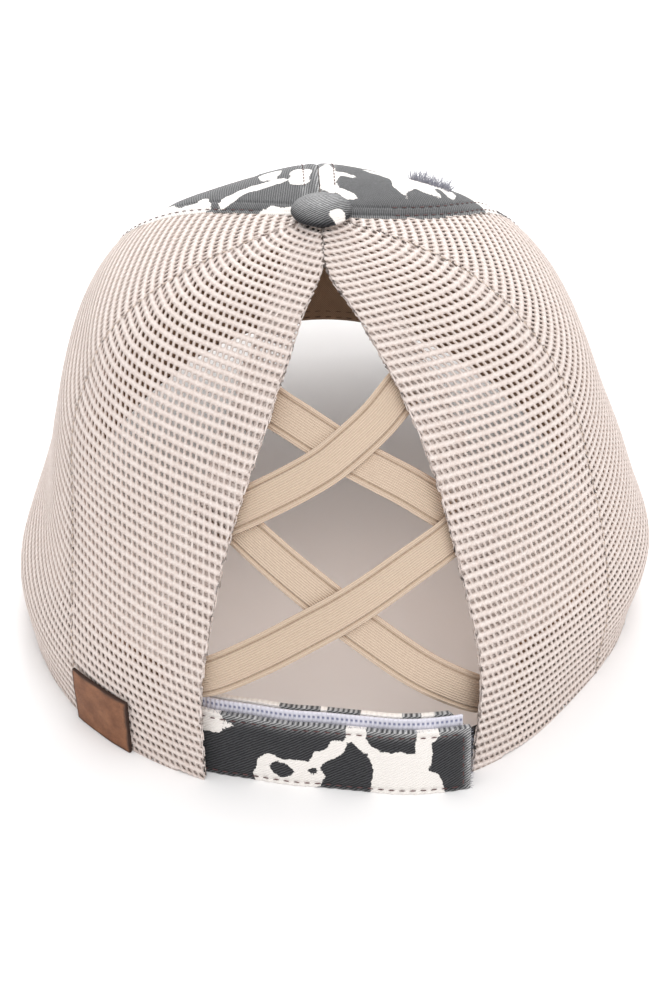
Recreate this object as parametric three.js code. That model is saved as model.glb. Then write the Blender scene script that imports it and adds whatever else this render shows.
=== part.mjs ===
// Ponytail baseball cap: six crown panels, a curved brim, a button, a sweatband, a closure
// strap across the back and four elastics that cross a tall ponytail opening.
// Millimetres, +Z up, brim towards -Y, opening towards +Y, the wearer's left towards +X.
// The finished group is moved so that the origin is under the middle of the cap's bounding
// box, at floor height: the cap rests on its rim, and the brim's ears end just above it.
// Angles run round the crown in degrees from the front, towards the wearer's left.
// Rows run up the crown from 0 at the rim to 6 at the button.

import * as THREE from 'three';

// Crown: half width and half length of the rim, and height of the top
const HALF_WIDTH = 85;
const HALF_LENGTH = 97.5;
const CROWN_HEIGHT = 119.5;

// Height share, radius shares at the front, sides and back, and how much the middle of a
// panel is flatter than its seams
const CROWN_ROWS = [
  [0.00, 1.000, 1.000, 1.000, 0.000],
  [0.25, 0.970, 1.006, 1.000, 0.010],
  [0.50, 0.942, 0.914, 0.895, 0.030],
  [0.70, 0.785, 0.848, 0.765, 0.045],
  [0.85, 0.561, 0.672, 0.580, 0.055],
  [0.95, 0.355, 0.394, 0.345, 0.050],
  [1.00, 0.000, 0.000, 0.000, 0.000],
];
const TOP_ROW = CROWN_ROWS.length - 1;

// Dents and bulges: angle, row, spread in degrees, spread in rows, depth as a share of the
// half width (inwards is positive)
const DENTS = [
  [94, 0.48, 26, 0.4, -0.035],
  [94, 1.2, 26, 0.55, 0.049],
  [97, 3.05, 28, 0.4, 0.024],
  [128, 0.24, 16, 1.0, -0.010],
  [232, 0.28, 16, 1.0, 0.035],
  [266, 1.75, 26, 0.95, -0.037],
  [268, 0.58, 24, 0.4, -0.056],
];

// Brim: its half width, its reach in front of the crown, the ear line's distance in front of
// the crown's middle, the radius of its arch across, and its slope down towards the tip in
// degrees. The arch also lifts the front of the rim: its crest is as high as it takes for the
// two ears to come down to the floor.
const BRIM_HALF = 0.911 * HALF_WIDTH;
const BRIM_REACH = 0.8 * HALF_WIDTH;
const EAR_LINE = 0.53 * HALF_WIDTH;
const EAR_LIP = 4;
const BRIM_THICKNESS = 3;
const BRIM_LIFT = 2;
const ARCH_RADIUS = 1.412 * HALF_WIDTH;
const ARCH_DROP = ARCH_RADIUS - Math.sqrt(ARCH_RADIUS ** 2 - BRIM_HALF ** 2);
const ARCH_RISE = ARCH_DROP + BRIM_THICKNESS + BRIM_LIFT;
const BRIM_SLOPE = 2;

// Cloth thicknesses and the gap kept between pieces
const FRONT_THICKNESS = 2.0;
const MESH_THICKNESS = 1.5;
const HEM_THICKNESS = 2.6;
const HEM_WIDTH = 12;
const GAP = 0.3;

// Seams between panels: row, front to side on the left and on the right, side to rear on the
// left and on the right
const SEAM_ROWS = [
  [0, 58, 58, 127, 120],
  [1, 58, 58, 124, 119],
  [2, 57, 57, 117, 117],
  [3, 57, 57, 109, 116],
  [4, 62, 62, 106, 113],
  [5, 67, 77, 107, 109],
  [6, 77, 94, 108, 108],
];

// Ponytail opening: the row of its tip, then half angle from the back centre line on the
// left and on the right, at shares of the way from the rim to the tip
const OPENING_TOP = 5.45;
const OPENING_ROWS = [
  [0.00, 25.0, 24.5],
  [0.20, 25.0, 26.6],
  [0.40, 22.8, 25.4],
  [0.60, 18.2, 23.0],
  [0.75, 14.6, 19.4],
  [0.90, 10.0, 12.5],
  [1.00, 0.0, 0.0],
];

// Button on top, with its rim tucked under by an angle in radians and a shank down through
// the hole where the panels meet
const BUTTON_RADIUS = 8.2;
const BUTTON_HEIGHT = 4.8;
const BUTTON_TUCK = 0.2;
const SHANK_RADIUS = 4.4;
const SHANK_LENGTH = 3;
const TOP_HOLE_RADIUS = 5.2;

// Sweatband
const BAND_HEIGHT = 32;
const BAND_THICKNESS = 1.5;
const BAND_DEPTH = FRONT_THICKNESS + 1.3 * GAP;
const BAND_END = 1.17 * HEM_WIDTH;

// Closure strap: its path along the rim as angle and how much deeper its outer face lies than
// just under the hem, as a share of the half width (minus stands out), then its layers from
// the outside inwards
const NEAR = HEM_THICKNESS + GAP;
const CLOSURE_ROWS = [
  [148.5, 0.004],
  [155, 0.008],
  [163, 0.022],
  [171, 0.018],
  [177, 0.013],
  [184, -0.012],
  [191, -0.053],
  [197, -0.081],
  [202, -0.102],
];
const CLOSURE_HEIGHT = 20.5;
const CLOSURE_THICKNESS = 2.0;
const TAPE_ENDS = [153, 201];
const TAPE_LIFT = 3;
const TAPE_HEIGHT = 20.2;
const TAPE_THICKNESS = 0.8;
const TAPE_DEPTH = CLOSURE_THICKNESS + GAP;
// The inner strap runs behind the tape. Between two angles it turns in under the right hem
// and narrows to its sewn end.
const INNER_ENDS = [151.5, 211.5];
const INNER_TURN = [199.5, 204];
const INNER_LIFT = 2;
const INNER_HEIGHT = 21.5;
const INNER_END_HEIGHT = 9;
const INNER_THICKNESS = 1.6;
const INNER_DEPTH = TAPE_DEPTH + TAPE_THICKNESS + GAP;

// Elastics: width and thickness, then paths as angle, row and depth of the outer face
const ELASTIC_WIDTH = 11;
const ELASTIC_THICKNESS = 1.2;
const FAR = NEAR + ELASTIC_THICKNESS + GAP;
const DEEP = NEAR + INNER_THICKNESS + 3 * GAP;
const ELASTICS = {
  elastic_upper_a: [
    [153.5, 3.93, FAR],
    [162, 3.78, FAR],
    [171, 3.63, FAR],
    [180, 3.43, FAR],
    [189, 3.17, FAR],
    [198, 2.86, FAR],
    [206.5, 2.49, FAR],
    [213, 2.22, FAR],
  ],
  elastic_upper_b: [
    [151.8, 2.42, NEAR],
    [158.5, 2.62, NEAR],
    [167.3, 2.89, NEAR],
    [176, 3.14, NEAR],
    [185, 3.39, NEAR],
    [194, 3.62, NEAR],
    [201, 3.81, NEAR],
    [209, 4.0, NEAR],
  ],
  elastic_lower_a: [
    [151, 2.62, FAR],
    [157.5, 2.45, FAR],
    [167.4, 2.18, FAR],
    [177.3, 1.88, FAR],
    [187.2, 1.53, FAR],
    [197, 1.13, (FAR + DEEP) / 2],
    [206.5, 0.74, DEEP],
    [212, 0.56, DEEP],
  ],
  elastic_lower_b: [
    [148.5, 0.96, NEAR],
    [154.5, 1.06, NEAR],
    [164.8, 1.36, NEAR],
    [175, 1.64, NEAR],
    [185.4, 1.87, NEAR],
    [195.7, 2.07, NEAR],
    [206, 2.22, NEAR],
    [212.5, 2.33, NEAR],
  ],
};

// Leather tag: angles of its two sides, height and thickness
const TAG_SIDES = [126.5, 140];
const TAG_HEIGHT = 17;
const TAG_THICKNESS = 1;

const RAD = Math.PI / 180;
const LOOKS = {
  print: ['#4a4a4c', 0.9],
  mesh: ['#dcc9ba', 0.9],
  brim: ['#47474a', 0.9],
  band: ['#6e5543', 0.9],
  tape: ['#dcd9e4', 0.8],
  elastic: ['#d6bd9c', 0.85],
  leather: ['#8a5a3a', 0.6],
};

const group = new THREE.Group();

// A smooth curve through a column of a table, at a position counted in rows. The row before
// the first runs straight on; the row after the last is last + tail.
function through(rows, column, position, tail) {
  const last = rows.length - 1;
  const i = Math.min(Math.max(Math.floor(position), 0), last - 1);
  const f = position - i;
  const at = (k) => {
    if (k < 0) return 2 * rows[0][column] - rows[1][column];
    if (k > last) return tail;
    return rows[k][column];
  };
  const [a, b, c, d] = [at(i - 1), at(i), at(i + 1), at(i + 2)];
  const bend = 2 * a - 5 * b + 4 * c - d;
  const twist = -a + 3 * b - 3 * c + d;
  return 0.5 * (2 * b + (c - a) * f + bend * f * f + twist * f * f * f);
}

// A smooth curve through a table whose first column is the key
function smooth(rows, column, key) {
  const last = rows.length - 1;
  let i = 1;
  while (i < last && key > rows[i][0]) i += 1;
  const f = (key - rows[i - 1][0]) / (rows[i][0] - rows[i - 1][0]);
  const tail = 2 * rows[last][column] - rows[last - 1][column];
  return through(rows, column, i - 1 + Math.min(Math.max(f, 0), 1), tail);
}

// Height of the brim's arch over a plan position
function archHeight(x, y) {
  const slope = Math.tan(BRIM_SLOPE * RAD);
  const under = Math.max(ARCH_RADIUS * ARCH_RADIUS - x * x, 0);
  return ARCH_RISE - slope * (-y - EAR_LINE) - (ARCH_RADIUS - Math.sqrt(under));
}

// Height of the crown's rim at an angle
function rimHeight(angle) {
  if (Math.cos(angle * RAD) <= 0) return 0;
  const x = HALF_WIDTH * Math.sin(angle * RAD);
  const y = -HALF_LENGTH * Math.cos(angle * RAD);
  return Math.max(archHeight(x, y), 0);
}

// How far a panel's middle is flattened at an angle, 0 at its seams and 1 half way
function flatten(angle) {
  const turn = Math.abs(((angle + 180) % 360 + 360) % 360 - 180);
  const seams = [0, SEAM_ROWS[2][1], SEAM_ROWS[2][3], 180];
  let i = 0;
  while (i < 2 && turn > seams[i + 1]) i += 1;
  const f = (turn - seams[i]) / (seams[i + 1] - seams[i]);
  return Math.pow(Math.abs(Math.sin(Math.PI * f)), 1.5);
}

// The crown's outer surface
function crown(angle, row) {
  const c = Math.cos(angle * RAD);
  const front = Math.max(c, 0) ** 2;
  const back = Math.max(-c, 0) ** 2;
  const side = 1 - front - back;
  const flat = flatten(angle);
  const radii = CROWN_ROWS.map((r) => {
    return [(front * r[1] + side * r[2] + back * r[3]) * (1 - r[4] * flat)];
  });
  const radius = through(radii, 0, row, -radii[TOP_ROW - 1][0]);
  const share = through(CROWN_ROWS, 0, row, CROWN_ROWS[TOP_ROW - 1][0]);
  const rim = rimHeight(angle);
  const point = new THREE.Vector3(
    HALF_WIDTH * Math.sin(angle * RAD) * radius,
    -HALF_LENGTH * c * radius,
    rim + (CROWN_HEIGHT - rim) * share,
  );
  for (const [at, level, wide, tall, deep] of DENTS) {
    const turn = ((angle - at + 180) % 360 + 360) % 360 - 180;
    const weight = Math.exp(-((turn / wide) ** 2) - ((row - level) / tall) ** 2);
    const push = deep * HALF_WIDTH * weight;
    point.x -= push * Math.sin(angle * RAD);
    point.y += push * c;
  }
  return point;
}

// Outward direction of the crown's surface; level at the rim, so that edges lie flat
function outward(angle, row) {
  const step = 0.01;
  const round = crown(angle + step, row).sub(crown(angle - step, row));
  const up = crown(angle, row + step).sub(crown(angle, row - step));
  const normal = round.cross(up);
  if (row <= 0) normal.z = 0;
  return normal.normalize();
}

// A point some depth inside the crown's surface; the rim follows the brim's arch
function inside(angle, row, depth) {
  const point = crown(angle, row).addScaledVector(outward(angle, row), -depth);
  if (row <= 0 && Math.cos(angle * RAD) > 0) {
    point.z = Math.max(archHeight(point.x, point.y), 0);
  }
  return point;
}

// Degrees round the crown that one millimetre takes
function degreesPerMm(angle, row) {
  return 1 / crown(angle + 0.5, row).distanceTo(crown(angle - 0.5, row));
}

// The row at which a test turns true going up the crown
function rowWhere(angle, test) {
  let low = 0;
  let high = TOP_ROW;
  for (let i = 0; i < 30; i += 1) {
    const middle = (low + high) / 2;
    if (test(crown(angle, middle))) high = middle;
    else low = middle;
  }
  return (low + high) / 2;
}

// Row at which the panels stop, round the hole for the button's shank
function topRow(angle) {
  return rowWhere(angle, (p) => Math.hypot(p.x, p.y) < TOP_HOLE_RADIUS);
}

// Row that lies a height above the rim
function rowAbove(angle, height) {
  const rim = rimHeight(angle);
  return rowWhere(angle, (p) => p.z > rim + height);
}

// A closed body between two grids of points, outer and inner, that share their edges' count
function sheetBody(outer, inner) {
  const across = outer.length;
  const up = outer[0].length;
  const positions = [];
  for (const grid of [outer, inner]) {
    for (const line of grid) {
      for (const p of line) positions.push(p.x, p.y, p.z);
    }
  }
  const index = [];
  const at = (side, i, j) => side * across * up + i * up + j;
  const face = (a, b, c, d) => index.push(a, b, c, a, c, d);
  for (let i = 0; i < across - 1; i += 1) {
    for (let j = 0; j < up - 1; j += 1) {
      face(at(0, i, j), at(0, i + 1, j), at(0, i + 1, j + 1), at(0, i, j + 1));
      face(at(1, i, j), at(1, i, j + 1), at(1, i + 1, j + 1), at(1, i + 1, j));
    }
  }
  for (let i = 0; i < across - 1; i += 1) {
    face(at(0, i, 0), at(1, i, 0), at(1, i + 1, 0), at(0, i + 1, 0));
    const j = up - 1;
    face(at(0, i, j), at(0, i + 1, j), at(1, i + 1, j), at(1, i, j));
  }
  for (let j = 0; j < up - 1; j += 1) {
    face(at(0, 0, j), at(0, 0, j + 1), at(1, 0, j + 1), at(1, 0, j));
    const i = across - 1;
    face(at(0, i, j), at(1, i, j), at(1, i, j + 1), at(0, i, j + 1));
  }
  return facingOut(positions, index);
}

// Geometry from points and triangles, turned so that its faces look outwards
function facingOut(positions, index) {
  let volume = 0;
  const corner = (k) => new THREE.Vector3().fromArray(positions, 3 * index[k]);
  for (let k = 0; k < index.length; k += 3) {
    volume += corner(k).dot(corner(k + 1).cross(corner(k + 2)));
  }
  const turned = index.slice();
  if (volume < 0) {
    for (let k = 0; k < index.length; k += 3) {
      turned[k + 1] = index[k + 2];
      turned[k + 2] = index[k + 1];
    }
  }
  const geometry = new THREE.BufferGeometry();
  geometry.setAttribute('position', new THREE.Float32BufferAttribute(positions, 3));
  geometry.setIndex(turned);
  geometry.computeVertexNormals();
  return geometry;
}

function add(name, geometry, look) {
  const [color, roughness] = LOOKS[look];
  const material = new THREE.MeshStandardMaterial({ color, roughness, metalness: 0 });
  const mesh = new THREE.Mesh(geometry, material);
  mesh.name = name;
  group.add(mesh);
}

// A crown panel from one edge angle to the other, both given as functions of the row.
// hem is the width of a thicker strip along the second edge, or 0.
function panel(from, to, thickness, hem) {
  const ROWS = 20;
  const middle = (from(0) + to(0)) / 2;
  const top = topRow(middle);
  const outer = [];
  const inner = [];
  const shares = hem ? [0, 0.16, 0.32, 0.48, 0.64, 0.8, 0.93, 1] : [];
  if (!hem) for (let i = 0; i <= 9; i += 1) shares.push(i / 9);
  const columns = shares.map((share) => [share, false]);
  if (hem) columns.push([0, true], [0.5, true], [1, true]);
  for (const [share, inHem] of columns) {
    const outerLine = [];
    const innerLine = [];
    for (let j = 0; j <= ROWS; j += 1) {
      const row = (j / ROWS) * top;
      const half = GAP / 2 * degreesPerMm(to(row), row);
      const side = Math.sign(to(row) - from(row));
      const a = from(row) + side * GAP / 2 * degreesPerMm(from(row), row);
      const b = to(row) - side * half;
      const strip = Math.min(hem * degreesPerMm(b, row), 0.4 * Math.abs(b - a));
      const step = Math.min(0.6 * degreesPerMm(b, row), 0.1 * Math.abs(b - a));
      const angle = inHem
        ? b - side * strip * (1 - share)
        : a + side * (Math.abs(b - a) - (hem ? strip + step : 0)) * share;
      outerLine.push(inside(angle, row, 0));
      innerLine.push(inside(angle, row, inHem ? HEM_THICKNESS : thickness));
    }
    outer.push(outerLine);
    inner.push(innerLine);
  }
  return sheetBody(outer, inner);
}

// Half angle of the opening on one side, 1 left and 2 right; 0 above its tip
function openingAngle(side, row) {
  if (row >= OPENING_TOP) return 0;
  return Math.max(smooth(OPENING_ROWS, side, row / OPENING_TOP), 0);
}

const frontLeftSeam = (row) => smooth(SEAM_ROWS, 1, row);
const frontRightSeam = (row) => smooth(SEAM_ROWS, 2, row);
const leftSeam = (row) => smooth(SEAM_ROWS, 3, row);
const rightSeam = (row) => smooth(SEAM_ROWS, 4, row);
const centre = () => 0;
const leftEdge = (row) => 180 - openingAngle(1, row);
const rightEdge = (row) => 180 - openingAngle(2, row);
const mirror = (edge) => (row) => -edge(row);

const rightFront = mirror(frontRightSeam);
const rightSide = mirror(rightSeam);

add('front_panel_left', panel(centre, frontLeftSeam, FRONT_THICKNESS, 0), 'print');
add('front_panel_right', panel(centre, rightFront, FRONT_THICKNESS, 0), 'print');
add('side_mesh_left', panel(frontLeftSeam, leftSeam, MESH_THICKNESS, 0), 'mesh');
add('side_mesh_right', panel(rightFront, rightSide, MESH_THICKNESS, 0), 'mesh');
add('rear_mesh_left', panel(leftSeam, leftEdge, MESH_THICKNESS, HEM_WIDTH), 'mesh');
add('rear_mesh_right', panel(rightSide, mirror(rightEdge), MESH_THICKNESS, HEM_WIDTH), 'mesh');

// A point of the brim's plan, an arched crescent under the front of the rim: share across
// from -1 to 1, share out from the crown
function brimPlan(across, out) {
  const depth = FRONT_THICKNESS * 0.75;
  const reach = HALF_LENGTH + BRIM_REACH - EAR_LINE;
  const turn = across * 90 * RAD;
  const inner = BRIM_HALF / (HALF_WIDTH - depth) * Math.sin(turn);
  const innerX = (HALF_WIDTH - depth) * inner;
  const innerY = -(HALF_LENGTH - depth) * Math.sqrt(1 - inner * inner);
  const outerX = BRIM_HALF * Math.sign(across) * Math.abs(Math.sin(turn)) ** 0.9;
  const outerY = -EAR_LINE - EAR_LIP - (reach - EAR_LIP) * Math.abs(Math.cos(turn)) ** 0.85;
  return [innerX + (outerX - innerX) * out, innerY + (outerY - innerY) * out];
}

function brim() {
  const ACROSS = 36;
  const OUT = 7;
  const outer = [];
  const inner = [];
  for (let i = 0; i <= ACROSS; i += 1) {
    const top = [];
    const bottom = [];
    for (let j = 0; j <= OUT; j += 1) {
      const [x, y] = brimPlan(2 * i / ACROSS - 1, j / OUT);
      const z = archHeight(x, y) - GAP;
      const tilt = Math.asin(x / ARCH_RADIUS);
      top.push(new THREE.Vector3(x, y, z));
      const under = new THREE.Vector3(x, y, z - BRIM_THICKNESS / Math.cos(tilt));
      bottom.push(under);
    }
    outer.push(top);
    inner.push(bottom);
  }
  return sheetBody(outer, inner);
}

// A body turned about the vertical axis from a profile of radius and height, open ended at
// the axis
function turned(profile) {
  const SIDES = 40;
  const positions = [];
  for (const [r, z] of profile) {
    if (r === 0) positions.push(0, 0, z);
    else {
      for (let i = 0; i < SIDES; i += 1) {
        const a = i / SIDES * 2 * Math.PI;
        positions.push(r * Math.cos(a), r * Math.sin(a), z);
      }
    }
  }
  const index = [];
  const rings = profile.length - 2;
  const at = (ring, i) => 1 + ring * SIDES + i % SIDES;
  const end = 1 + rings * SIDES;
  for (let i = 0; i < SIDES; i += 1) {
    index.push(0, at(0, i), at(0, i + 1));
    index.push(end, at(rings - 1, i + 1), at(rings - 1, i));
    for (let ring = 0; ring < rings - 1; ring += 1) {
      index.push(at(ring, i), at(ring + 1, i), at(ring + 1, i + 1));
      index.push(at(ring, i), at(ring + 1, i + 1), at(ring, i + 1));
    }
  }
  return facingOut(positions, index);
}

function button() {
  const base = CROWN_HEIGHT + GAP;
  const profile = [[0, base - SHANK_LENGTH], [SHANK_RADIUS, base - SHANK_LENGTH], [SHANK_RADIUS, base]];
  const RINGS = 7;
  for (let i = 0; i < RINGS; i += 1) {
    const a = i / RINGS * (Math.PI / 2 + BUTTON_TUCK) - BUTTON_TUCK;
    profile.push([BUTTON_RADIUS * Math.cos(a), base + BUTTON_HEIGHT * (0.36 + 0.64 * Math.sin(a))]);
  }
  profile.push([0, base + BUTTON_HEIGHT]);
  return turned(profile);
}

function sweatband() {
  const ALONG = 56;
  const UP = 3;
  const end = (side, row) => 180 - openingAngle(side, row);
  const outer = [];
  const inner = [];
  for (let i = 0; i <= ALONG; i += 1) {
    const share = 2 * i / ALONG - 1;
    const side = share > 0 ? 1 : 2;
    const outerLine = [];
    const innerLine = [];
    for (let j = 0; j <= UP; j += 1) {
      const rough = Math.abs(share) * end(side, 0);
      const top = rowAbove(rough * Math.sign(share), BAND_HEIGHT);
      const row = j / UP * top;
      const last = end(side, row) - BAND_END * degreesPerMm(end(side, row), row);
      const angle = share * last;
      outerLine.push(inside(angle, row, BAND_DEPTH));
      innerLine.push(inside(angle, row, BAND_DEPTH + BAND_THICKNESS));
    }
    outer.push(outerLine);
    inner.push(innerLine);
  }
  return sheetBody(outer, inner);
}

// The point at a depth inside the crown that lies nearest to a target, starting the search
// from an angle and a row
function nearest(target, angle, row, depth) {
  const step = 0.05;
  let [a, r] = [angle, row];
  for (let i = 0; i < 4; i += 1) {
    const point = inside(a, r, depth);
    const round = inside(a + step, r, depth).sub(point).divideScalar(step);
    const up = inside(a, r + step, depth).sub(point).divideScalar(step);
    const miss = target.clone().sub(point);
    const [rr, ru, uu] = [round.dot(round), round.dot(up), up.dot(up)];
    const [mr, mu] = [miss.dot(round), miss.dot(up)];
    const scale = rr * uu - ru * ru;
    a += (mr * uu - mu * ru) / scale;
    r += (mu * rr - mr * ru) / scale;
  }
  return [inside(a, r, depth), outward(a, r)];
}

// A strip of cloth along a path of angle, row and depth, square to it and following the
// crown across its width
function strip(rows, width, thickness) {
  const STEPS = 4;
  const count = (rows.length - 1) * STEPS;
  const last = rows[rows.length - 1];
  const before = rows[rows.length - 2];
  const place = (k) => {
    const at = Math.min(Math.max(k, 0), count) / STEPS;
    return [0, 1, 2].map((column) => {
      return through(rows, column, at, 2 * last[column] - before[column]);
    });
  };
  const outer = [];
  const inner = [];
  for (let k = 0; k <= count; k += 1) {
    const [angle, row, depth] = place(k);
    const run = inside(...place(k + 1)).sub(inside(...place(k - 1)));
    const across = outward(angle, row).cross(run).normalize();
    const outerLine = [];
    const innerLine = [];
    for (const share of [-0.5, 0, 0.5]) {
      const target = inside(angle, row, depth).addScaledVector(across, share * width);
      const [point, normal] = nearest(target, angle, row, depth);
      outerLine.push(point);
      innerLine.push(point.clone().addScaledVector(normal, -thickness));
    }
    outer.push(outerLine);
    inner.push(innerLine);
  }
  return sheetBody(outer, inner);
}

// Depth of the closure's outer face, and of the inner strap's
function closureDepth(angle) {
  return NEAR + HALF_WIDTH * smooth(CLOSURE_ROWS, 1, angle);
}

function innerDepth(angle) {
  const [start, end] = INNER_TURN;
  const behind = closureDepth(Math.min(angle, start)) + INNER_DEPTH;
  const share = THREE.MathUtils.smoothstep(angle, start, end);
  return behind + (NEAR + GAP - behind) * share;
}

function innerTop(angle) {
  const share = THREE.MathUtils.smoothstep(angle, ...INNER_TURN);
  return INNER_LIFT + THREE.MathUtils.lerp(INNER_HEIGHT, INNER_END_HEIGHT, share);
}

// A band along the rim between two angles, from a level edge up to a height for each angle,
// shifted inwards from the path that a depth for each angle gives
function railBand([from, to], depthAt, shift, thickness, low, topAt) {
  const STEPS = 32;
  const outer = [];
  const inner = [];
  const angleAt = (k) => from + (to - from) * k / STEPS;
  const foot = (k) => inside(angleAt(k), 0, depthAt(angleAt(k)));
  for (let k = 0; k <= STEPS; k += 1) {
    const run = foot(k + 0.5).sub(foot(k - 0.5));
    const away = new THREE.Vector3(run.y, -run.x, 0).normalize();
    if (away.dot(foot(k)) < 0) away.negate();
    const start = foot(k).addScaledVector(away, -shift);
    const line = [low, topAt(angleAt(k))].map((z) => new THREE.Vector3(start.x, start.y, z));
    outer.push(line);
    inner.push(line.map((p) => p.clone().addScaledVector(away, -thickness)));
  }
  return sheetBody(outer, inner);
}

function tag() {
  const ALONG = 4;
  const outer = [];
  const inner = [];
  for (let i = 0; i <= ALONG; i += 1) {
    const angle = TAG_SIDES[0] + i / ALONG * (TAG_SIDES[1] - TAG_SIDES[0]);
    const top = rowAbove(angle, TAG_HEIGHT);
    const line = [0, 0.5, 1].map((share) => share * top);
    outer.push(line.map((row) => inside(angle, row, -GAP - TAG_THICKNESS)));
    inner.push(line.map((row) => inside(angle, row, -GAP)));
  }
  return sheetBody(outer, inner);
}

add('brim', brim(), 'brim');
add('button', button(), 'print');
add('sweatband', sweatband(), 'band');
const closureEnds = [CLOSURE_ROWS[0][0], CLOSURE_ROWS[CLOSURE_ROWS.length - 1][0]];
add('closure_strap_outer', railBand(
  closureEnds, closureDepth, 0, CLOSURE_THICKNESS, 0, () => CLOSURE_HEIGHT,
), 'print');
add('closure_tape', railBand(
  TAPE_ENDS, closureDepth, TAPE_DEPTH, TAPE_THICKNESS, TAPE_LIFT, () => TAPE_LIFT + TAPE_HEIGHT,
), 'tape');
add('closure_strap_inner', railBand(
  INNER_ENDS, innerDepth, 0, INNER_THICKNESS, INNER_LIFT, innerTop,
), 'print');
for (const [name, rows] of Object.entries(ELASTICS)) {
  add(name, strip(rows, ELASTIC_WIDTH, ELASTIC_THICKNESS), 'elastic');
}
add('leather_tag', tag(), 'leather');

// Origin under the middle of the bounding box, at floor height
group.updateMatrixWorld(true);
const box = new THREE.Box3().setFromObject(group);
for (const mesh of group.children) {
  mesh.geometry.translate(-(box.min.x + box.max.x) / 2, -(box.min.y + box.max.y) / 2, -box.min.z);
}

export default group;
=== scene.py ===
# %% [markdown]
# # A ponytail cap, cell by cell
# The solids of the cap come in as a fixed frame. Each cell below makes one piece over them
# or gives one finish: first the view, then the crown's surface as a function that every
# piece is laid on, then the cloths, then the pieces sewn from them.

import bpy
import bmesh
import math
import random
import numpy as np
from mathutils import Matrix, Vector, noise


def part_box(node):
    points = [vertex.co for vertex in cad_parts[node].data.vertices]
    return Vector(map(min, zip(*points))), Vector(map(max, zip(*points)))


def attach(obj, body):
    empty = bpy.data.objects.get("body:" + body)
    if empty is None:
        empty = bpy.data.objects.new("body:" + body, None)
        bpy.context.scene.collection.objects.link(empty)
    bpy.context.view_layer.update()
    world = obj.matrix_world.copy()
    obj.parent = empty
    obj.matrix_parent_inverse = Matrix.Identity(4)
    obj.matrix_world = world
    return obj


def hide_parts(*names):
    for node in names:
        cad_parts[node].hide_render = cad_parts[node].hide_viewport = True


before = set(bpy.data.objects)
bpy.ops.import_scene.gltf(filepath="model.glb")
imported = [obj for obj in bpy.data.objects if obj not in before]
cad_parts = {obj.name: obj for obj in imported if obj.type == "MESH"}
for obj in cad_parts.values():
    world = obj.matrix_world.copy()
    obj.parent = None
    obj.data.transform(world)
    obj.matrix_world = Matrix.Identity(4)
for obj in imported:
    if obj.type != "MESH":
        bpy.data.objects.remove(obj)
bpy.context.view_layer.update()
button_low, button_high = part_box("button")
crown_axis = np.array([(button_low[0] + button_high[0]) / 2, (button_low[1] + button_high[1]) / 2, 0.0])

# %% [markdown]
# The crown of the real cap is a dome on an oval rim. Its outline from the front, the sides
# and the back is a short table of shares, with a smooth curve run through the rows. The same
# table shapes the solids, so cloth laid on this surface lies where the solids are. Angles go
# round from the front towards the wearer's left, rows go up from 0 at the rim to 6 on top.

# %% The crown's sizes
HALF_WIDTH, HALF_LENGTH, CROWN_HEIGHT = 85.0, 97.5, 119.5
# Share of the height, then the share of the radius at the front, the sides and the back,
# and how much the panel flattens between its seams.
CROWN_ROWS = np.array([
    [0.00, 1.000, 1.000, 1.000, 0.000],
    [0.25, 0.970, 1.006, 1.000, 0.010],
    [0.50, 0.942, 0.914, 0.895, 0.030],
    [0.70, 0.785, 0.848, 0.765, 0.045],
    [0.85, 0.561, 0.672, 0.580, 0.055],
    [0.95, 0.355, 0.394, 0.345, 0.050],
    [1.00, 0.000, 0.000, 0.000, 0.000],
])
# Each dent: angle, row, spread in degrees, spread in rows, and depth as a share of
# HALF_WIDTH, below 0 for a bulge.
DENTS = [
    (94, 0.48, 26, 0.4, -0.035), (94, 1.2, 26, 0.55, 0.049), (97, 3.05, 28, 0.4, 0.024),
    (128, 0.24, 16, 1.0, -0.010), (232, 0.28, 16, 1.0, 0.035),
    (266, 1.75, 26, 0.95, -0.037), (268, 0.58, 24, 0.4, -0.056),
]
# Row, then the angles of the seams: front left, front right, rear left, rear right.
SEAMS = np.array([
    [0, 58, 58, 127, 120], [1, 58, 58, 124, 119], [2, 57, 57, 117, 117],
    [3, 57, 57, 109, 116], [4, 62, 62, 106, 113], [5, 67, 77, 107, 109],
    [6, 77, 94, 108, 108],
], float)
# Share of the opening's height, then its half angle on the left and on the right.
OPENING_TOP = 5.45
OPENING = np.array([
    [0.00, 25.0, 24.5], [0.20, 25.0, 26.6], [0.40, 22.8, 25.4], [0.60, 18.2, 23.0],
    [0.75, 14.6, 19.4], [0.90, 10.0, 12.5], [1.00, 0.0, 0.0],
])
ARCH_RADIUS, EAR_LINE, BRIM_SLOPE = 1.412 * HALF_WIDTH, 0.53 * HALF_WIDTH, math.tan(math.radians(2))
BRIM_HALF = 0.911 * HALF_WIDTH
ARCH_RISE = ARCH_RADIUS - math.sqrt(ARCH_RADIUS**2 - BRIM_HALF**2) + 5
HEM_WIDTH, HEM_THICKNESS, GAP = 12.0, 2.6, 0.3
NEAR = HEM_THICKNESS + GAP


# %% The crown's surface
def through(values, position, tail):
    """A smooth curve through evenly counted values."""
    ends = [2 * values[0] - values[1], *values, tail]
    stack = np.stack([np.broadcast_to(v, np.shape(position)) for v in ends])
    i = np.clip(np.floor(position).astype(int), 0, len(values) - 2)
    f = position - i
    a, b, c, d = (np.take_along_axis(stack, (i + k)[None], 0)[0] for k in range(4))
    return 0.5 * (2 * b + (c - a) * f + (2 * a - 5 * b + 4 * c - d) * f**2 + (3 * b - a - 3 * c + d) * f**3)


def smooth(table, column, key):
    """A smooth curve through a table whose first column is the key."""
    keys, values = table[:, 0], table[:, column]
    key = np.atleast_1d(np.asarray(key, float))
    position = np.interp(key, keys, np.arange(len(keys)))
    return through(list(values), position, 2 * values[-1] - values[-2])


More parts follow.
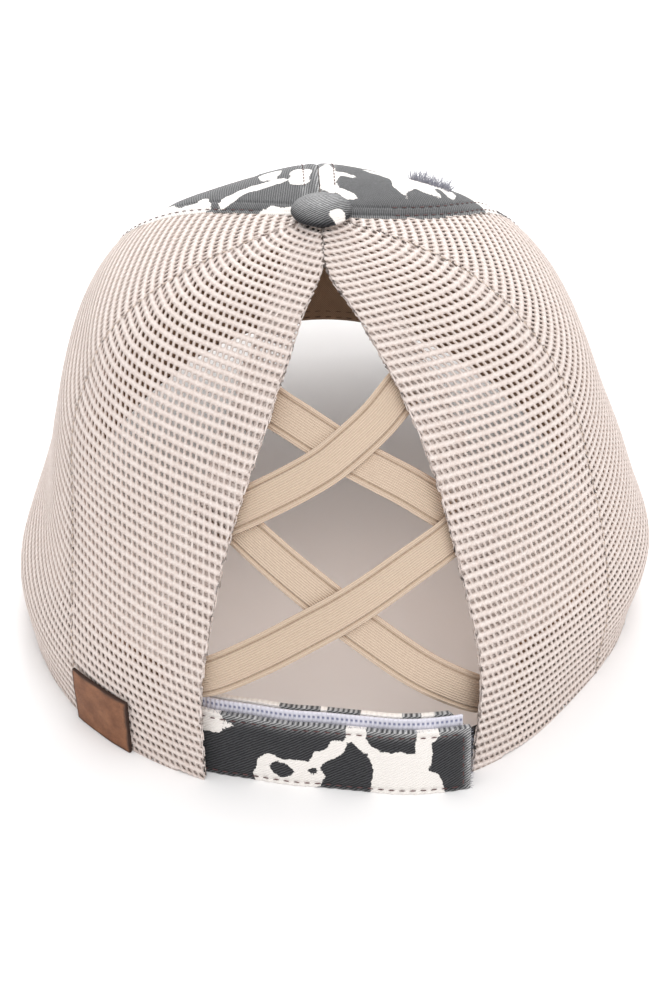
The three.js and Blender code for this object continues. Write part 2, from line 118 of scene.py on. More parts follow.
def arch_height(x, y):
    """Height of the brim's arch over a plan position."""
    drop = ARCH_RADIUS - np.sqrt(np.maximum(ARCH_RADIUS**2 - x**2, 0))
    return ARCH_RISE - BRIM_SLOPE * (-y - EAR_LINE) - drop


def crown(angle, row):
    """The crown's outer surface in millimetres from the middle of the crown."""
    angle, row = np.broadcast_arrays(np.asarray(angle, float), np.asarray(row, float))
    turn = np.radians(angle)
    s, c = np.sin(turn), np.cos(turn)
    front, back = np.maximum(c, 0) ** 2, np.maximum(-c, 0) ** 2
    side = 1 - front - back
    away = np.abs((angle + 180) % 360 - 180)
    marks = np.array([0, SEAMS[2, 1], SEAMS[2, 3], 180])
    share = np.interp(away, marks, [0, 1, 2, 3]) % 1
    flat = np.abs(np.sin(np.pi * share)) ** 1.5
    radii = [(front * r[1] + side * r[2] + back * r[3]) * (1 - r[4] * flat) for r in CROWN_ROWS]
    radius = through(radii, row, -radii[-2])
    height = through(list(CROWN_ROWS[:, 0]), row, CROWN_ROWS[-2, 0])
    x, y = HALF_WIDTH * s, -HALF_LENGTH * c
    rim = np.where(c > 0, np.maximum(arch_height(x, y), 0), 0)
    point = np.stack([x * radius, y * radius, rim + (CROWN_HEIGHT - rim) * height], -1)
    for at, level, wide, tall, depth in DENTS:
        off = (angle - at + 180) % 360 - 180
        push = depth * HALF_WIDTH * np.exp(-((off / wide) ** 2) - ((row - level) / tall) ** 2)
        point[..., 0] -= push * s
        point[..., 1] += push * c
    return point


def outward(angle, row):
    """Outward direction of the surface, level at the rim."""
    angle, row = np.broadcast_arrays(np.asarray(angle, float), np.asarray(row, float))
    step = 0.01
    round_it = crown(angle + step, row) - crown(angle - step, row)
    up = crown(angle, row + step) - crown(angle, row - step)
    normal = np.cross(round_it, up)
    normal[..., 2] = np.where(row <= 0, 0, normal[..., 2])
    return normal / np.linalg.norm(normal, axis=-1, keepdims=True)


def inside(angle, row, depth):
    """A point some depth inside the crown's surface; the rim follows the brim's arch."""
    angle, row, depth = np.broadcast_arrays(*(np.asarray(v, float) for v in (angle, row, depth)))
    point = crown(angle, row) - outward(angle, row) * depth[..., None]
    rim = (row <= 0) & (np.cos(np.radians(angle)) > 0)
    point[..., 2] = np.where(rim, np.maximum(arch_height(point[..., 0], point[..., 1]), 0), point[..., 2])
    return point


def metres(point):
    """From millimetres about the crown's middle to the frame's metres."""
    return np.asarray(point) / 1000 + crown_axis


def opening_angle(side, row):
    """Half angle of the ponytail opening, side 1 left or 2 right, 0 above its tip."""
    row = np.atleast_1d(row)
    return np.where(row >= OPENING_TOP, 0, np.maximum(smooth(OPENING, side, row / OPENING_TOP), 0))


def degrees_per_mm(angle, row):
    """How many degrees round the crown one millimetre takes."""
    return 1 / np.linalg.norm(crown(angle + 0.5, row) - crown(angle - 0.5, row), axis=-1)


print("crown top", crown(0.0, 6.0).round(2), "rim back", crown(180.0, 0.0).round(2))

# %% [markdown]
# The photograph looks down on the back of the cap from about 34 degrees, with a long lens and
# a slight roll. Camera, floor and light come first, so that every later cell can be judged
# in the right view.

# %% Camera
camera_data = bpy.data.cameras.new("view")
camera = bpy.data.objects.new("view", camera_data)
bpy.context.scene.collection.objects.link(camera)
bpy.context.scene.camera = camera
tilt, yaw, roll, reach = math.radians(34.22), math.radians(1.19), math.radians(-1.16), 0.9
back = Vector((math.sin(yaw) * math.cos(tilt), math.cos(yaw) * math.cos(tilt), math.sin(tilt)))
target = Vector(metres([-1.62, 0, 28.02]))
right = (-back).cross(Vector((0, 0, 1))).normalized()
up = right.cross(-back)
turned_right = right * math.cos(roll) + up * math.sin(roll)
turned_up = up * math.cos(roll) - right * math.sin(roll)
camera.matrix_world = Matrix((
    (turned_right.x, turned_up.x, back.x, target.x + reach * back.x),
    (turned_right.y, turned_up.y, back.y, target.y + reach * back.y),
    (turned_right.z, turned_up.z, back.z, target.z + reach * back.z),
    (0, 0, 0, 1),
))
PIXELS_PER_MM, FRAME_PIXELS, FILM_MM = 3.54, 1001, 36
camera_data.sensor_fit = "VERTICAL"
camera_data.sensor_height = FILM_MM
camera_data.lens = PIXELS_PER_MM * (reach * 1000) * FILM_MM / FRAME_PIXELS
camera_data.clip_start = 0.05
print("camera lens", round(camera_data.lens, 1), "mm")

# %% [markdown]
# The floor is one pale sheet, and a pale world lights it from all sides. A large softbox
# hangs behind the cap and one stands before it. One shines in under the brim's arch, where
# the floor is bright. A very weak warm light inside the crown stands for the light that the
# pale knit scatters.

# %% Floor and light
floor_grid = bmesh.new()
bmesh.ops.create_grid(floor_grid, x_segments=1, y_segments=1, size=6)
floor_mesh = bpy.data.meshes.new("floor")
floor_grid.to_mesh(floor_mesh)
floor_grid.free()
floor = bpy.data.objects.new("floor", floor_mesh)
bpy.context.scene.collection.objects.link(floor)
floor_paint = bpy.data.materials.new("floor_white")
floor_paint.use_nodes = True
floor_paint.node_tree.nodes["Principled BSDF"].inputs["Base Color"].default_value = (0.92, 0.91, 0.91, 1)
floor_paint.node_tree.nodes["Principled BSDF"].inputs["Roughness"].default_value = 0.9
floor_mesh.materials.append(floor_paint)
world = bpy.data.worlds.new("studio")
bpy.context.scene.world = world
world.use_nodes = True
world.node_tree.nodes["Background"].inputs["Color"].default_value = (1, 1, 1, 1)
world.node_tree.nodes["Background"].inputs["Strength"].default_value = 0.95
bpy.context.scene.view_settings.view_transform = "Standard"


def soft_light(name, place, aim, size, power, colour=(1, 1, 1)):
    """A square softbox at a place in metres, turned towards a point."""
    data = bpy.data.lights.new(name, "AREA")
    data.size, data.energy, data.color = size, power, colour
    lamp = bpy.data.objects.new(name, data)
    lamp.visible_camera = False
    lamp.location = place
    lamp.rotation_euler = (Vector(aim) - Vector(place)).to_track_quat("-Z", "Y").to_euler()
    bpy.context.scene.collection.objects.link(lamp)


soft_light("top_softbox", (-0.35, 0.75, 1.45), (0, 0.03, 0.03), 1.2, 10)
soft_light("arch_softbox", (0, -0.75, 0.26), (0, 0, 0.0), 0.35, 5.2)
soft_light("front_softbox", (0, -1.3, 0.7), (0, 0, 0), 1.2, 9)
soft_light("knit_glow", (0, 0.045, 0.09), (0, 0.105, 0), 0.05, 0.023, (1, 0.80, 0.68))
print("lights", [light.name for light in bpy.data.lights])

# %% [markdown]
# Cloth is flat before it is sewn, so each piece starts as a flat grid. A function then says
# where every point of the grid lies on the cap, and the grid keeps its flat measures, in
# centimetres, as a texture map: weave and print follow the cloth, not the room.


# %% Laying cloth
def finish_piece(piece, material, replaced=()):
    """Gives a piece its material and its body, links it into the scene and hides the solids it replaces."""
    piece.data.materials.clear()
    piece.data.materials.append(material)
    bpy.context.scene.collection.objects.link(piece)
    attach(piece, "root")
    if replaced:
        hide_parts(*replaced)
    piece.data.shade_smooth()
    return piece


def face_outwards(shape):
    """Turns an open sheet's faces away from the middle of the cap."""
    middle = Vector(metres([0, 0, 45]))
    shape.normal_update()
    lean = sum(f.normal.dot(f.calc_center_median() - middle) * f.calc_area() for f in shape.faces)
    if lean < 0:
        bmesh.ops.reverse_faces(shape, faces=shape.faces)


def lay(name, shape, place, weld=False):
    """Moves a flat shape's points, given in millimetres, to their places on the cap."""
    mesh = bpy.data.meshes.new(name)
    shape.to_mesh(mesh)
    shape.free()
    flat = np.empty(len(mesh.vertices) * 3)
    mesh.vertices.foreach_get("co", flat)
    flat = flat.reshape(-1, 3)
    points, map_cm, marks = place(flat[:, 0], flat[:, 1])
    mesh.vertices.foreach_set("co", metres(points).ravel())
    corner = np.empty(len(mesh.loops), int)
    mesh.loops.foreach_get("vertex_index", corner)
    layer = mesh.uv_layers.new(name="cloth")
    layer.data.foreach_set("uv", np.stack(map_cm, -1)[corner].ravel())
    for mark, amounts in marks.items():
        mesh.attributes.new(mark, "FLOAT", "POINT").data.foreach_set("value", np.asarray(amounts, float))
    turned = bmesh.new()
    turned.from_mesh(mesh)
    if weld:
        bmesh.ops.remove_doubles(turned, verts=turned.verts, dist=0.00001)
        bmesh.ops.recalc_face_normals(turned, faces=turned.faces)
    face_outwards(turned)
    turned.to_mesh(mesh)
    turned.free()
    return bpy.data.objects.new(name, mesh)


def flat_cloth(columns, rows):
    """A flat grid from 0 to 1 both ways."""
    shape = bmesh.new()
    bmesh.ops.create_grid(shape, x_segments=columns, y_segments=rows, size=0.5)
    bmesh.ops.translate(shape, verts=shape.verts, vec=(0.5, 0.5, 0))
    return shape


def thicken(piece, thickness, edge=0.0):
    """Gives a sheet its thickness in millimetres, inwards, and rounds its edges."""
    wall = piece.modifiers.new("thickness", "SOLIDIFY")
    wall.thickness, wall.offset = thickness / 1000, -1
    wall.use_even_offset = False
    if edge:
        soft = piece.modifiers.new("soft_edges", "BEVEL")
        soft.width, soft.segments, soft.limit_method = edge / 1000, 2, "ANGLE"
        soft.angle_limit = math.radians(50)
    return piece


# %% [markdown]
# A finish is a small graph of nodes. These helpers keep each graph to a few lines: one adds a
# node, one does sums on numbers, and one mixes two colours.


# %% Node helpers
def new_finish(name, roughness, sheen=0.0):
    """A material with one cloth shader; returns it with its tree and shader."""
    material = bpy.data.materials.new(name)
    material.use_nodes = True
    tree = material.node_tree
    tree.nodes.clear()
    output = tree.nodes.new("ShaderNodeOutputMaterial")
    shader = tree.nodes.new("ShaderNodeBsdfPrincipled")
    tree.links.new(shader.outputs[0], output.inputs[0])
    shader.inputs["Roughness"].default_value = roughness
    shader.inputs["Specular IOR Level"].default_value = 0.25
    shader.inputs["Sheen Weight"].default_value = sheen
    return material, tree, shader


def feed(tree, socket, value):
    """Sets a socket to a number or colour, or links an output to it."""
    if hasattr(value, "links"):
        tree.links.new(value, socket)
    else:
        socket.default_value = value


def sums(tree, operation, a, b=0.0, clamp=False):
    """One sum on two numbers, kept between 0 and 1 if clamp is set."""
    node = tree.nodes.new("ShaderNodeMath")
    node.operation, node.use_clamp = operation, clamp
    feed(tree, node.inputs[0], a)
    feed(tree, node.inputs[1], b)
    return node.outputs[0]


def steps(tree, value, low, high, to_low=0.0, to_high=1.0):
    """A soft step: to_low below low, to_high above high."""
    node = tree.nodes.new("ShaderNodeMapRange")
    node.interpolation_type = "SMOOTHSTEP"
    for place, amount in enumerate((value, low, high, to_low, to_high)):
        feed(tree, node.inputs[place], amount)
    return node.outputs[0]


def blend(tree, share, a, b):
    """Colour a where the share is 0 and colour b where it is 1."""
    node = tree.nodes.new("ShaderNodeMix")
    node.data_type = "RGBA"
    feed(tree, node.inputs[0], share)
    feed(tree, node.inputs[6], a if hasattr(a, "links") else (*a, 1))
    feed(tree, node.inputs[7], b if hasattr(b, "links") else (*b, 1))
    return node.outputs[2]


def cloth_map(tree, scale=(1, 1, 1), turn=0.0):
    """The cloth's own flat measures in centimetres, scaled and turned."""
    source = tree.nodes.new("ShaderNodeUVMap")
    source.uv_map = "cloth"
    mapping = tree.nodes.new("ShaderNodeMapping")
    mapping.inputs["Rotation"].default_value = (0, 0, math.radians(turn))
    mapping.inputs["Scale"].default_value = scale
    tree.links.new(source.outputs[0], mapping.inputs[0])
    return mapping.outputs[0]


def grain(tree, where, scale, detail=2.0, rough=0.5):
    """Cloudy noise from 0 to 1."""
    node = tree.nodes.new("ShaderNodeTexNoise")
    node.inputs["Scale"].default_value = scale
    node.inputs["Detail"].default_value = detail
    node.inputs["Roughness"].default_value = rough
    tree.links.new(where, node.inputs["Vector"])
    return node.outputs[0]


def ribs(tree, where, pitch_cm, waver=0.0):
    """Straight ribs square to the map's first axis, a pitch apart."""
    node = tree.nodes.new("ShaderNodeTexWave")
    node.inputs["Scale"].default_value = 0.31416 / pitch_cm
    node.inputs["Distortion"].default_value = waver
    node.inputs["Detail"].default_value = 1
    node.inputs["Detail Scale"].default_value = 2
    tree.links.new(where, node.inputs["Vector"])
    return node.outputs["Fac"]


def mark(tree, name):
    """An amount that the piece carries at each of its points."""
    node = tree.nodes.new("ShaderNodeAttribute")
    node.attribute_name = name
    return node.outputs["Fac"]


def relief(tree, shader, height, depth_mm, strength=1.0):
    """Small relief from a height of 0 to 1."""
    node = tree.nodes.new("ShaderNodeBump")
    node.inputs["Strength"].default_value = strength
    node.inputs["Distance"].default_value = depth_mm / 1000
    tree.links.new(height, node.inputs["Height"])
    tree.links.new(node.outputs[0], shader.inputs["Normal"])


# %% [markdown]
# The front panels, the button and the strap are one cloth: a charcoal twill, washed until its
# diagonal ribs show lighter, and printed with white cow patches that have slightly ragged
# edges. Where the cloth is folded or rubbed the charcoal has worn to grey. Each piece
# carries two marks: where the print is, and where the wear is.

# %% Printed twill
twill, tree, shader = new_finish("cow_twill", 0.9, 0.1)
fine = cloth_map(tree)
rib = ribs(tree, cloth_map(tree, turn=58), 0.073, 1.6)
washed = grain(tree, fine, 1.6, 4, 0.65)
speckle = grain(tree, fine, 16, 3, 0.7)
streak = grain(tree, cloth_map(tree, (3, 16, 1), 58), 2.2, 2)
ragged = sums(tree, "MULTIPLY", sums(tree, "SUBTRACT", grain(tree, fine, 9, 4, 0.7), 0.5), 1.6)
painted = steps(tree, sums(tree, "ADD", mark(tree, "print"), ragged), -0.06, 0.10)
faded = sums(tree, "MULTIPLY", mark(tree, "wear"), sums(tree, "ADD", washed, 0.55), True)
ground = blend(tree, faded, (0.0055, 0.0055, 0.006), (0.045, 0.045, 0.048))
ridge = blend(tree, faded, (0.044, 0.045, 0.052), (0.62, 0.62, 0.62))
lit = sums(tree, "MULTIPLY", rib, sums(tree, "ADD", streak, 0.25), True)
lit = sums(tree, "ADD", lit, sums(tree, "MULTIPLY", steps(tree, speckle, 0.5, 0.8), 0.35), True)
charcoal = blend(tree, lit, ground, ridge)
white = blend(tree, sums(tree, "MULTIPLY", rib, 0.3), (0.90, 0.86, 0.82), (0.78, 0.73, 0.69))
feed(tree, shader.inputs["Base Color"], blend(tree, painted, charcoal, white))
relief(tree, shader, sums(tree, "ADD", rib, sums(tree, "MULTIPLY", painted, 0.6)), 0.12)

# %% [markdown]
# The mesh is a pale sandy knit. Its threads are modelled; the finish tints them a little lighter
# and darker from thread to thread, paints shade at the edge of every hole and paints scattered
# highlights along the fine filaments.

# %% Knit
# The mark "rim" is 1 at the edge of a hole, where a thread turns away from the light; the
# finish paints shade there.
knit, tree, shader = new_finish("mesh_knit", 0.75, 0.2)
fine = cloth_map(tree)
rim = mark(tree, "rim")
tint = steps(tree, grain(tree, fine, 4, 3), 0.3, 0.7)
fibre_highlight = steps(tree, grain(tree, fine, 17, 3, 0.7), 0.35, 0.65)
thread = blend(tree, tint, (0.76, 0.63, 0.57), (0.85, 0.735, 0.68))
# Painted highlight in scattered flecks along the fine filaments.
thread = blend(tree, sums(tree, "MULTIPLY", fibre_highlight, 0.55), thread, (0.97, 0.89, 0.85))
# Painted shade, darkest at the rim of each hole.
shaded = sums(tree, "MULTIPLY", sums(tree, "POWER", rim, 2.0), 0.55)
thread = blend(tree, shaded, thread, (0.46, 0.35, 0.29))
feed(tree, shader.inputs["Base Color"], thread)
relief(tree, shader, sums(tree, "SUBTRACT", sums(tree, "MULTIPLY", fibre_highlight, 0.5), rim), 0.22)

# %% [markdown]
# Knitted elastic has fine ribs along its length, because its rubber threads lie side by side
# under the yarn. Ribs drawn along the strip's own flat measures follow each bend. The mark
# "groove" darkens the two pressed-in lines beside the edge cords with painted shade.

# %% Elastic
elastic, tree, shader = new_finish("elastic_tan", 0.8, 0.2)
fine = cloth_map(tree)
rib = ribs(tree, cloth_map(tree, turn=90), 0.062, 0.1)
groove = mark(tree, "groove")
tan = blend(tree, rib, (0.60, 0.45, 0.335), (0.74, 0.58, 0.45))
# Painted shade in the two grooves beside the edge cords.
tan = blend(tree, sums(tree, "MULTIPLY", groove, 0.9), tan, (0.25, 0.15, 0.09))
lint = steps(tree, grain(tree, cloth_map(tree, (30, 3, 1)), 1.5, 2), 0.4, 0.7, 0, 0.25)
tan = blend(tree, lint, tan, (0.80, 0.66, 0.50))
feed(tree, shader.inputs["Base Color"], tan)
relief(tree, shader, sums(tree, "SUBTRACT", rib, groove), 0.25)

# %% [markdown]
# The band is a brown twill that has darkened in patches. The tape is white with a faint
# violet cast, and a row of dark dots of painted shade, in the gaps between its loops, runs
# along its upper edge: the ribs give the dots' spacing and the mark "dots" says how high up
# the tape they lie.

# %% Band and tape
band_cloth, tree, shader = new_finish("band_cloth", 0.9, 0.2)
weave = ribs(tree, cloth_map(tree, turn=45), 0.06, 1.0)
patchy = grain(tree, cloth_map(tree), 2.0, 3)
brown = blend(tree, sums(tree, "MULTIPLY", weave, patchy), (0.26, 0.165, 0.10), (0.46, 0.32, 0.22))
feed(tree, shader.inputs["Base Color"], brown)
relief(tree, shader, weave, 0.1)

tape_cloth, tree, shader = new_finish("tape_white", 0.8, 0.2)
dots = ribs(tree, cloth_map(tree, turn=0), 0.125, 0.0)
line = mark(tree, "dots")
white_tape = blend(tree, grain(tree, cloth_map(tree), 6, 2), (0.62, 0.61, 0.72), (0.85, 0.84, 0.90))
# Painted shade: dark dots in the gaps between the loops.
dotted = sums(tree, "MULTIPLY", line, steps(tree, dots, 0.35, 0.6))
feed(tree, shader.inputs["Base Color"], blend(tree, dotted, white_tape, (0.10, 0.12, 0.24)))
relief(tree, shader, dots, 0.2)

# %% [markdown]
# Sewing thread is too thin to show its twist, but no two stitches catch the light alike. A
# noise about as coarse as a stitch is long gives each one its own shade.


# %% Threads
def thread_finish(name, dark, light):
    """Sewing thread whose shade wanders from stitch to stitch."""
    material, tree, shader = new_finish(name, 0.7)
    where = tree.nodes.new("ShaderNodeTexCoord").outputs["Object"]
    feed(tree, shader.inputs["Base Color"], blend(tree, grain(tree, where, 400, 2), dark, light))
    relief(tree, shader, grain(tree, where, 3000, 1), 0.05)
    return material


thread_dark = thread_finish("thread_dark", (0.03, 0.014, 0.014), (0.20, 0.10, 0.10))
thread_sand = thread_finish("thread_sand", (0.50, 0.38, 0.30), (0.72, 0.60, 0.50))
thread_brown = thread_finish("thread_brown", (0.10, 0.06, 0.035), (0.22, 0.14, 0.09))
thread_frayed = thread_finish("thread_frayed", (0.12, 0.12, 0.15), (0.46, 0.46, 0.52))

# %% [markdown]
# The tag is vegetable-tanned leather: a brown that wanders in clouds, fine darker pores, and
# an edge that was burnt when it was cut. The mark "edge" is 1 at the burnt border.

# %% Leather
leather, tree, shader = new_finish("tag_leather", 0.55)
fine = cloth_map(tree)
edge = mark(tree, "edge")
clouds = steps(tree, grain(tree, fine, 1.8, 4, 0.6), 0.3, 0.7)
tanned = blend(tree, clouds, (0.17, 0.065, 0.03), (0.30, 0.13, 0.062))
tanned = blend(tree, steps(tree, grain(tree, fine, 25, 3), 0.45, 0.6, 0.0, 0.35), tanned, (0.10, 0.04, 0.02))
feed(tree, shader.inputs["Base Color"], blend(tree, edge, tanned, (0.035, 0.016, 0.010)))
relief(tree, shader, grain(tree, fine, 25, 3), 0.15)
print("finishes", [m.name for m in bpy.data.materials])

# %% [markdown]
# The cow print is charted as patches: a place, two half widths and a turn for each. A patch
# is worth more than 0 inside its outline and less outside, a patch with a minus takes an
# island out again, and a little noise makes every outline wander.


# %% Charting the print
def chart(x, y, patches, wander=0.8, size=5.0, seed=0.0):
    """How many millimetres a flat place lies inside the white; below 0 it is charcoal."""
    value = np.full(np.shape(x), -20.0)
    for px, py, half_x, half_y, lean, sign in patches:
        s, c = math.sin(math.radians(lean)), math.cos(math.radians(lean))
        dx, dy = x - px, y - py
        away = np.hypot((dx * c + dy * s) / half_x, (dy * c - dx * s) / half_y)
        inside_by = (1 - away) * min(half_x, half_y)
        value = np.maximum(value, inside_by) if sign > 0 else np.minimum(value, -inside_by)
    ripple = [noise.noise((a / size, b / size, seed)) for a, b in zip(np.ravel(x), np.ravel(y))]
    fine = [noise.noise((a / 2.6, b / 2.6, seed + 7)) for a, b in zip(np.ravel(x), np.ravel(y))]
    return value + 2 * wander * np.reshape(ripple, np.shape(x)) + 0.5 * np.reshape(fine, np.shape(x))


def cow_field(x, y, seed):
    """An all-over cow print: broad patches with smaller islands, in millimetres."""
    value = []
    for a, b in zip(np.ravel(x), np.ravel(y)):
        bend_x, bend_y = noise.noise((a / 14, b / 14, seed + 3)), noise.noise((a / 14, b / 14, seed + 5))
        broad = noise.noise(((a + 9 * bend_x) / 19, (b + 9 * bend_y) / 15, seed))
        small = noise.noise((a / 5, b / 5, seed + 9))
        value.append(15 * broad + 2.2 * small - 0.8)
    return np.reshape(value, np.shape(x))


# %% [markdown]
# The two front panels are cut as tall gores. They are laid from the centre seam to the side
# seams, with their cloth measures kept in millimetres along and across the gore.


# %% Panel tools
BUTTON_SEAT, FRONT_MIDDLE = 5.2, 29


def top_row(angle):
    """The row at which the panels stop, round the button's shank."""
    low, high = 4.5, 6.0
    for _ in range(30):
        middle = (low + high) / 2
        p = crown(angle, middle)
        low, high = (low, middle) if math.hypot(p[0], p[1]) < BUTTON_SEAT else (middle, high)
    return (low + high) / 2


def arc_table(angle, top):
    """Rows against millimetres up the surface at one angle."""
    rows = np.linspace(0, top, 200)
    line = crown(angle, rows)
    run = np.concatenate([[0], np.cumsum(np.linalg.norm(np.diff(line, axis=0), axis=1))])
    return rows, run


EDGES = {
    "centre": lambda row: np.zeros_like(np.atleast_1d(row), dtype=float),
    "front_left": lambda row: smooth(SEAMS, 1, row),
    "front_right": lambda row: -smooth(SEAMS, 2, row),
    "side_left": lambda row: smooth(SEAMS, 3, row),
    "side_right": lambda row: -smooth(SEAMS, 4, row),
    "opening_left": lambda row: 180 - opening_angle(1, row),
    "opening_right": lambda row: -180 + opening_angle(2, row),
}


def place_panel(edge_a, edge_b, middle):
    """Places flat shares across and up, each from 0 to 1, on a panel of the crown."""
    top = top_row(middle)
    rows, run = arc_table(middle, top)

    def place(share, height):
        row = np.interp(height * run[-1], run, rows)
        a, b = EDGES[edge_a](row), EDGES[edge_b](row)
        side = np.sign(b - a)
        gap = side * 0.5 * GAP * degrees_per_mm((a + b) / 2, row)
        angle = a + gap + (b - a - 2 * gap) * share
        return inside(angle, row, 0.0), angle, row, height * run[-1]

    return place


def panel_cut(edge_a, edge_b, middle):
    """A panel's flat width, length and area before it was sewn, in metres."""
    rows, run = arc_table(middle, top_row(middle))
    width = np.abs(EDGES[edge_b](rows) - EDGES[edge_a](rows)) / degrees_per_mm(middle, rows)
    area = float(np.sum((width[1:] + width[:-1]) / 2 * np.diff(run)))
    return float(width.max()) / 1000, float(run[-1]) / 1000, area / 1e6


# %% [markdown]
# Near the button the white patches are charted one by one, because they show: place across
# and along the gore, half length, half width, lean in degrees, and 1 for white or -1 for an
# island. Farther down the all-over print takes their place. The cloth is pressed in at the
# seams and stitch rows, and it has worn pale there.

# %% Front panels
CENTRE_STITCHES, SIDE_STITCHES, FRONT_LEAN = 4.3, (1.7, 6.0), 52
TOP_PATCHES = {
    "left": [
        (38.5, 112, 9, 2.4, 137, 1), (21, 121, 14, 2.2, 174, 1), (5.5, 122, 3.6, 6.5, 0, 1),
        (16.5, 137, 9, 1.9, 143, 1), (30, 88, 12, 8, 20, 1), (14.6, 111.5, 3.6, 9, 0, 1),
    ],
    "right": [
        (-2.6, 124, 2.9, 14, 0, 1), (-7, 120, 3.6, 1.6, 0, 1), (-7.5, 135.4, 3, 3.0, 0, 1),
        (-20.5, 110.5, 8.0, 3.4, 168, 1), (-24.5, 115.5, 3.2, 7.6, 0, 1), (-28.5, 110.5, 7.2, 4.8, 150, 1),
        (-37.5, 104.5, 6, 2.0, 128, 1), (-33.5, 128, 5.5, 1.8, 40, 1), (-12, 92, 8, 9, 0, 1),
    ],
}


def front_panel(side):
    """One front panel of the printed twill."""
    sign = 1 if side == "left" else -1
    layout = place_panel("centre", "front_" + side, FRONT_MIDDLE * sign)
    seam_column = 1 if side == "left" else 2

    def place(share, height):
        points, angle, row, along = layout(share, height)
        flat_x = angle / degrees_per_mm(FRONT_MIDDLE * sign, row)
        top_share = np.clip((along - 96) / 14, 0, 1)
        charted = chart(flat_x, along, TOP_PATCHES[side], 0.7, 5, 3 * sign)
        value = top_share * charted + (1 - top_share) * cow_field(flat_x, along, 4.0)
        from_centre = np.abs(flat_x)
        from_side = (smooth(SEAMS, seam_column, row) - np.abs(angle)) / degrees_per_mm(angle, row)
        press = 0.5 * np.exp(-((from_centre / 0.7) ** 2)) + 0.35 * np.exp(-((from_side / 0.8) ** 2))
        press = press + 0.22 * np.exp(-(((from_centre - CENTRE_STITCHES) / 0.6) ** 2))
        for line in SIDE_STITCHES:
            press = press + 0.22 * np.exp(-(((from_side - line) / 0.6) ** 2))
        points = points - outward(angle, row) * press[:, None]
        wear = 0.2 + 0.5 * np.exp(-((from_centre / 1.2) ** 2)) + 0.5 * np.exp(-((from_side / 1.2) ** 2))
        wear = wear + 0.3 * np.exp(-((from_centre - CENTRE_STITCHES) ** 2))
        wear = wear + 0.5 * np.exp(-((row / 0.1) ** 2))
        lean = math.radians(-FRONT_LEAN * sign)
        map_u = flat_x * math.cos(lean) - along * math.sin(lean)
        map_v = flat_x * math.sin(lean) + along * math.cos(lean)
        return points, (map_u / 10, map_v / 10), {"print": value, "wear": np.clip(wear, 0, 1)}

    piece = lay("front_cloth_" + side, flat_cloth(110, 130), place)
    thicken(piece, 1.6, 0.4)
    finish_piece(piece, twill, ["front_panel_" + side])
    width, length, area = panel_cut("centre", "front_" + side, FRONT_MIDDLE * sign)
    return piece


fronts = [front_panel("left"), front_panel("right")]
print("front panels", [len(p.data.vertices) for p in fronts])

# %% [markdown]
# The side and rear panels are a warp-knitted net: rows of small oval holes, each row half a
# hole out of step with the next. A flat grid of half holes is the start. Every second upright
# edge is dissolved, which leaves a brick pattern; the brick's corners are pulled up and down
# into six-sided cells; each cell is inset by half a thread, and what is left in the middle
# is deleted. The net is cut to the panel while flat and then laid on the crown.


# %% Knitting a flat net
HOLE_PITCH, ROW_PITCH, THREAD, HOLE_SHARE = 1.88, 2.66, 0.66, 0.50


def brick_grid(low, high, seed, tighter):
    """Six-sided cells in brick order over a flat rectangle, with slightly uneven corners."""
    pitch_x, pitch_y = HOLE_PITCH * tighter / 2, ROW_PITCH * tighter
    start_i, start_j = math.floor(low[0] / pitch_x), math.floor(low[1] / pitch_y)
    columns, rows = math.ceil(high[0] / pitch_x) - start_i, math.ceil(high[1] / pitch_y) - start_j
    net = bmesh.new()
    bmesh.ops.create_grid(net, x_segments=columns, y_segments=rows, size=0.5)
    spare = []
    for edge in net.edges:
        a, b = (v.co for v in edge.verts)
        i, j = round((a.x + 0.5) * columns), round((min(a.y, b.y) + 0.5) * rows)
        if abs(a.x - b.x) < 1e-6 and 0 < i < columns and (i + j) % 2:
            spare.append(edge)
    bmesh.ops.dissolve_edges(net, edges=spare, use_verts=False)
    dice = random.Random(seed)
    for vert in net.verts:
        i, j = round((vert.co.x + 0.5) * columns), round((vert.co.y + 0.5) * rows)
        lift = 0.16 if (i + j) % 2 == 0 else -0.16
        vert.co.x = (start_i + i) * pitch_x + dice.gauss(0, 0.05)
        vert.co.y = (start_j + j) * pitch_y + lift + dice.gauss(0, 0.06)
    return net


def open_holes(net, thread):
    """Insets every cell by half a thread and takes out what is left in its middle."""
    rim = net.verts.layers.float.new("rim")
    ring = bmesh.ops.inset_individual(net, faces=net.faces[:], thickness=thread / 2, use_even_offset=True)
    threads = set(ring["faces"])
    holes = [f for f in net.faces if f not in threads]
    for hole in holes:
        middle = hole.calc_center_median()
        for vert in hole.verts:
            rise = vert.co.y - middle.y
            vert.co.y = middle.y + HOLE_SHARE * rise
            vert.co.x = middle.x + 0.88 * (vert.co.x - middle.x) - 0.22 * rise
            vert[rim] = 1
    bmesh.ops.delete(net, geom=holes, context="FACES")


def round_threads(piece, drop):
    """Sinks the rim of every hole by some millimetres, so that each thread is rounded."""
    mesh = piece.data
    count = len(mesh.vertices)
    rim, place, normal = np.empty(count), np.empty(count * 3), np.empty(count * 3)
    mesh.attributes["rim"].data.foreach_get("value", rim)
    mesh.vertices.foreach_get("co", place)
    mesh.vertices.foreach_get("normal", normal)
    mesh.vertices.foreach_set("co", place - normal * np.repeat(rim, 3) * drop / 1000)


# %% [markdown]
# A panel of net is cut from the flat knit, a little turned as the real one is, and wrapped
# round the crown. Along the hem of the opening, the rim and the seams the net is doubled, so
# a second layer is knitted there, closer and just inside the first.


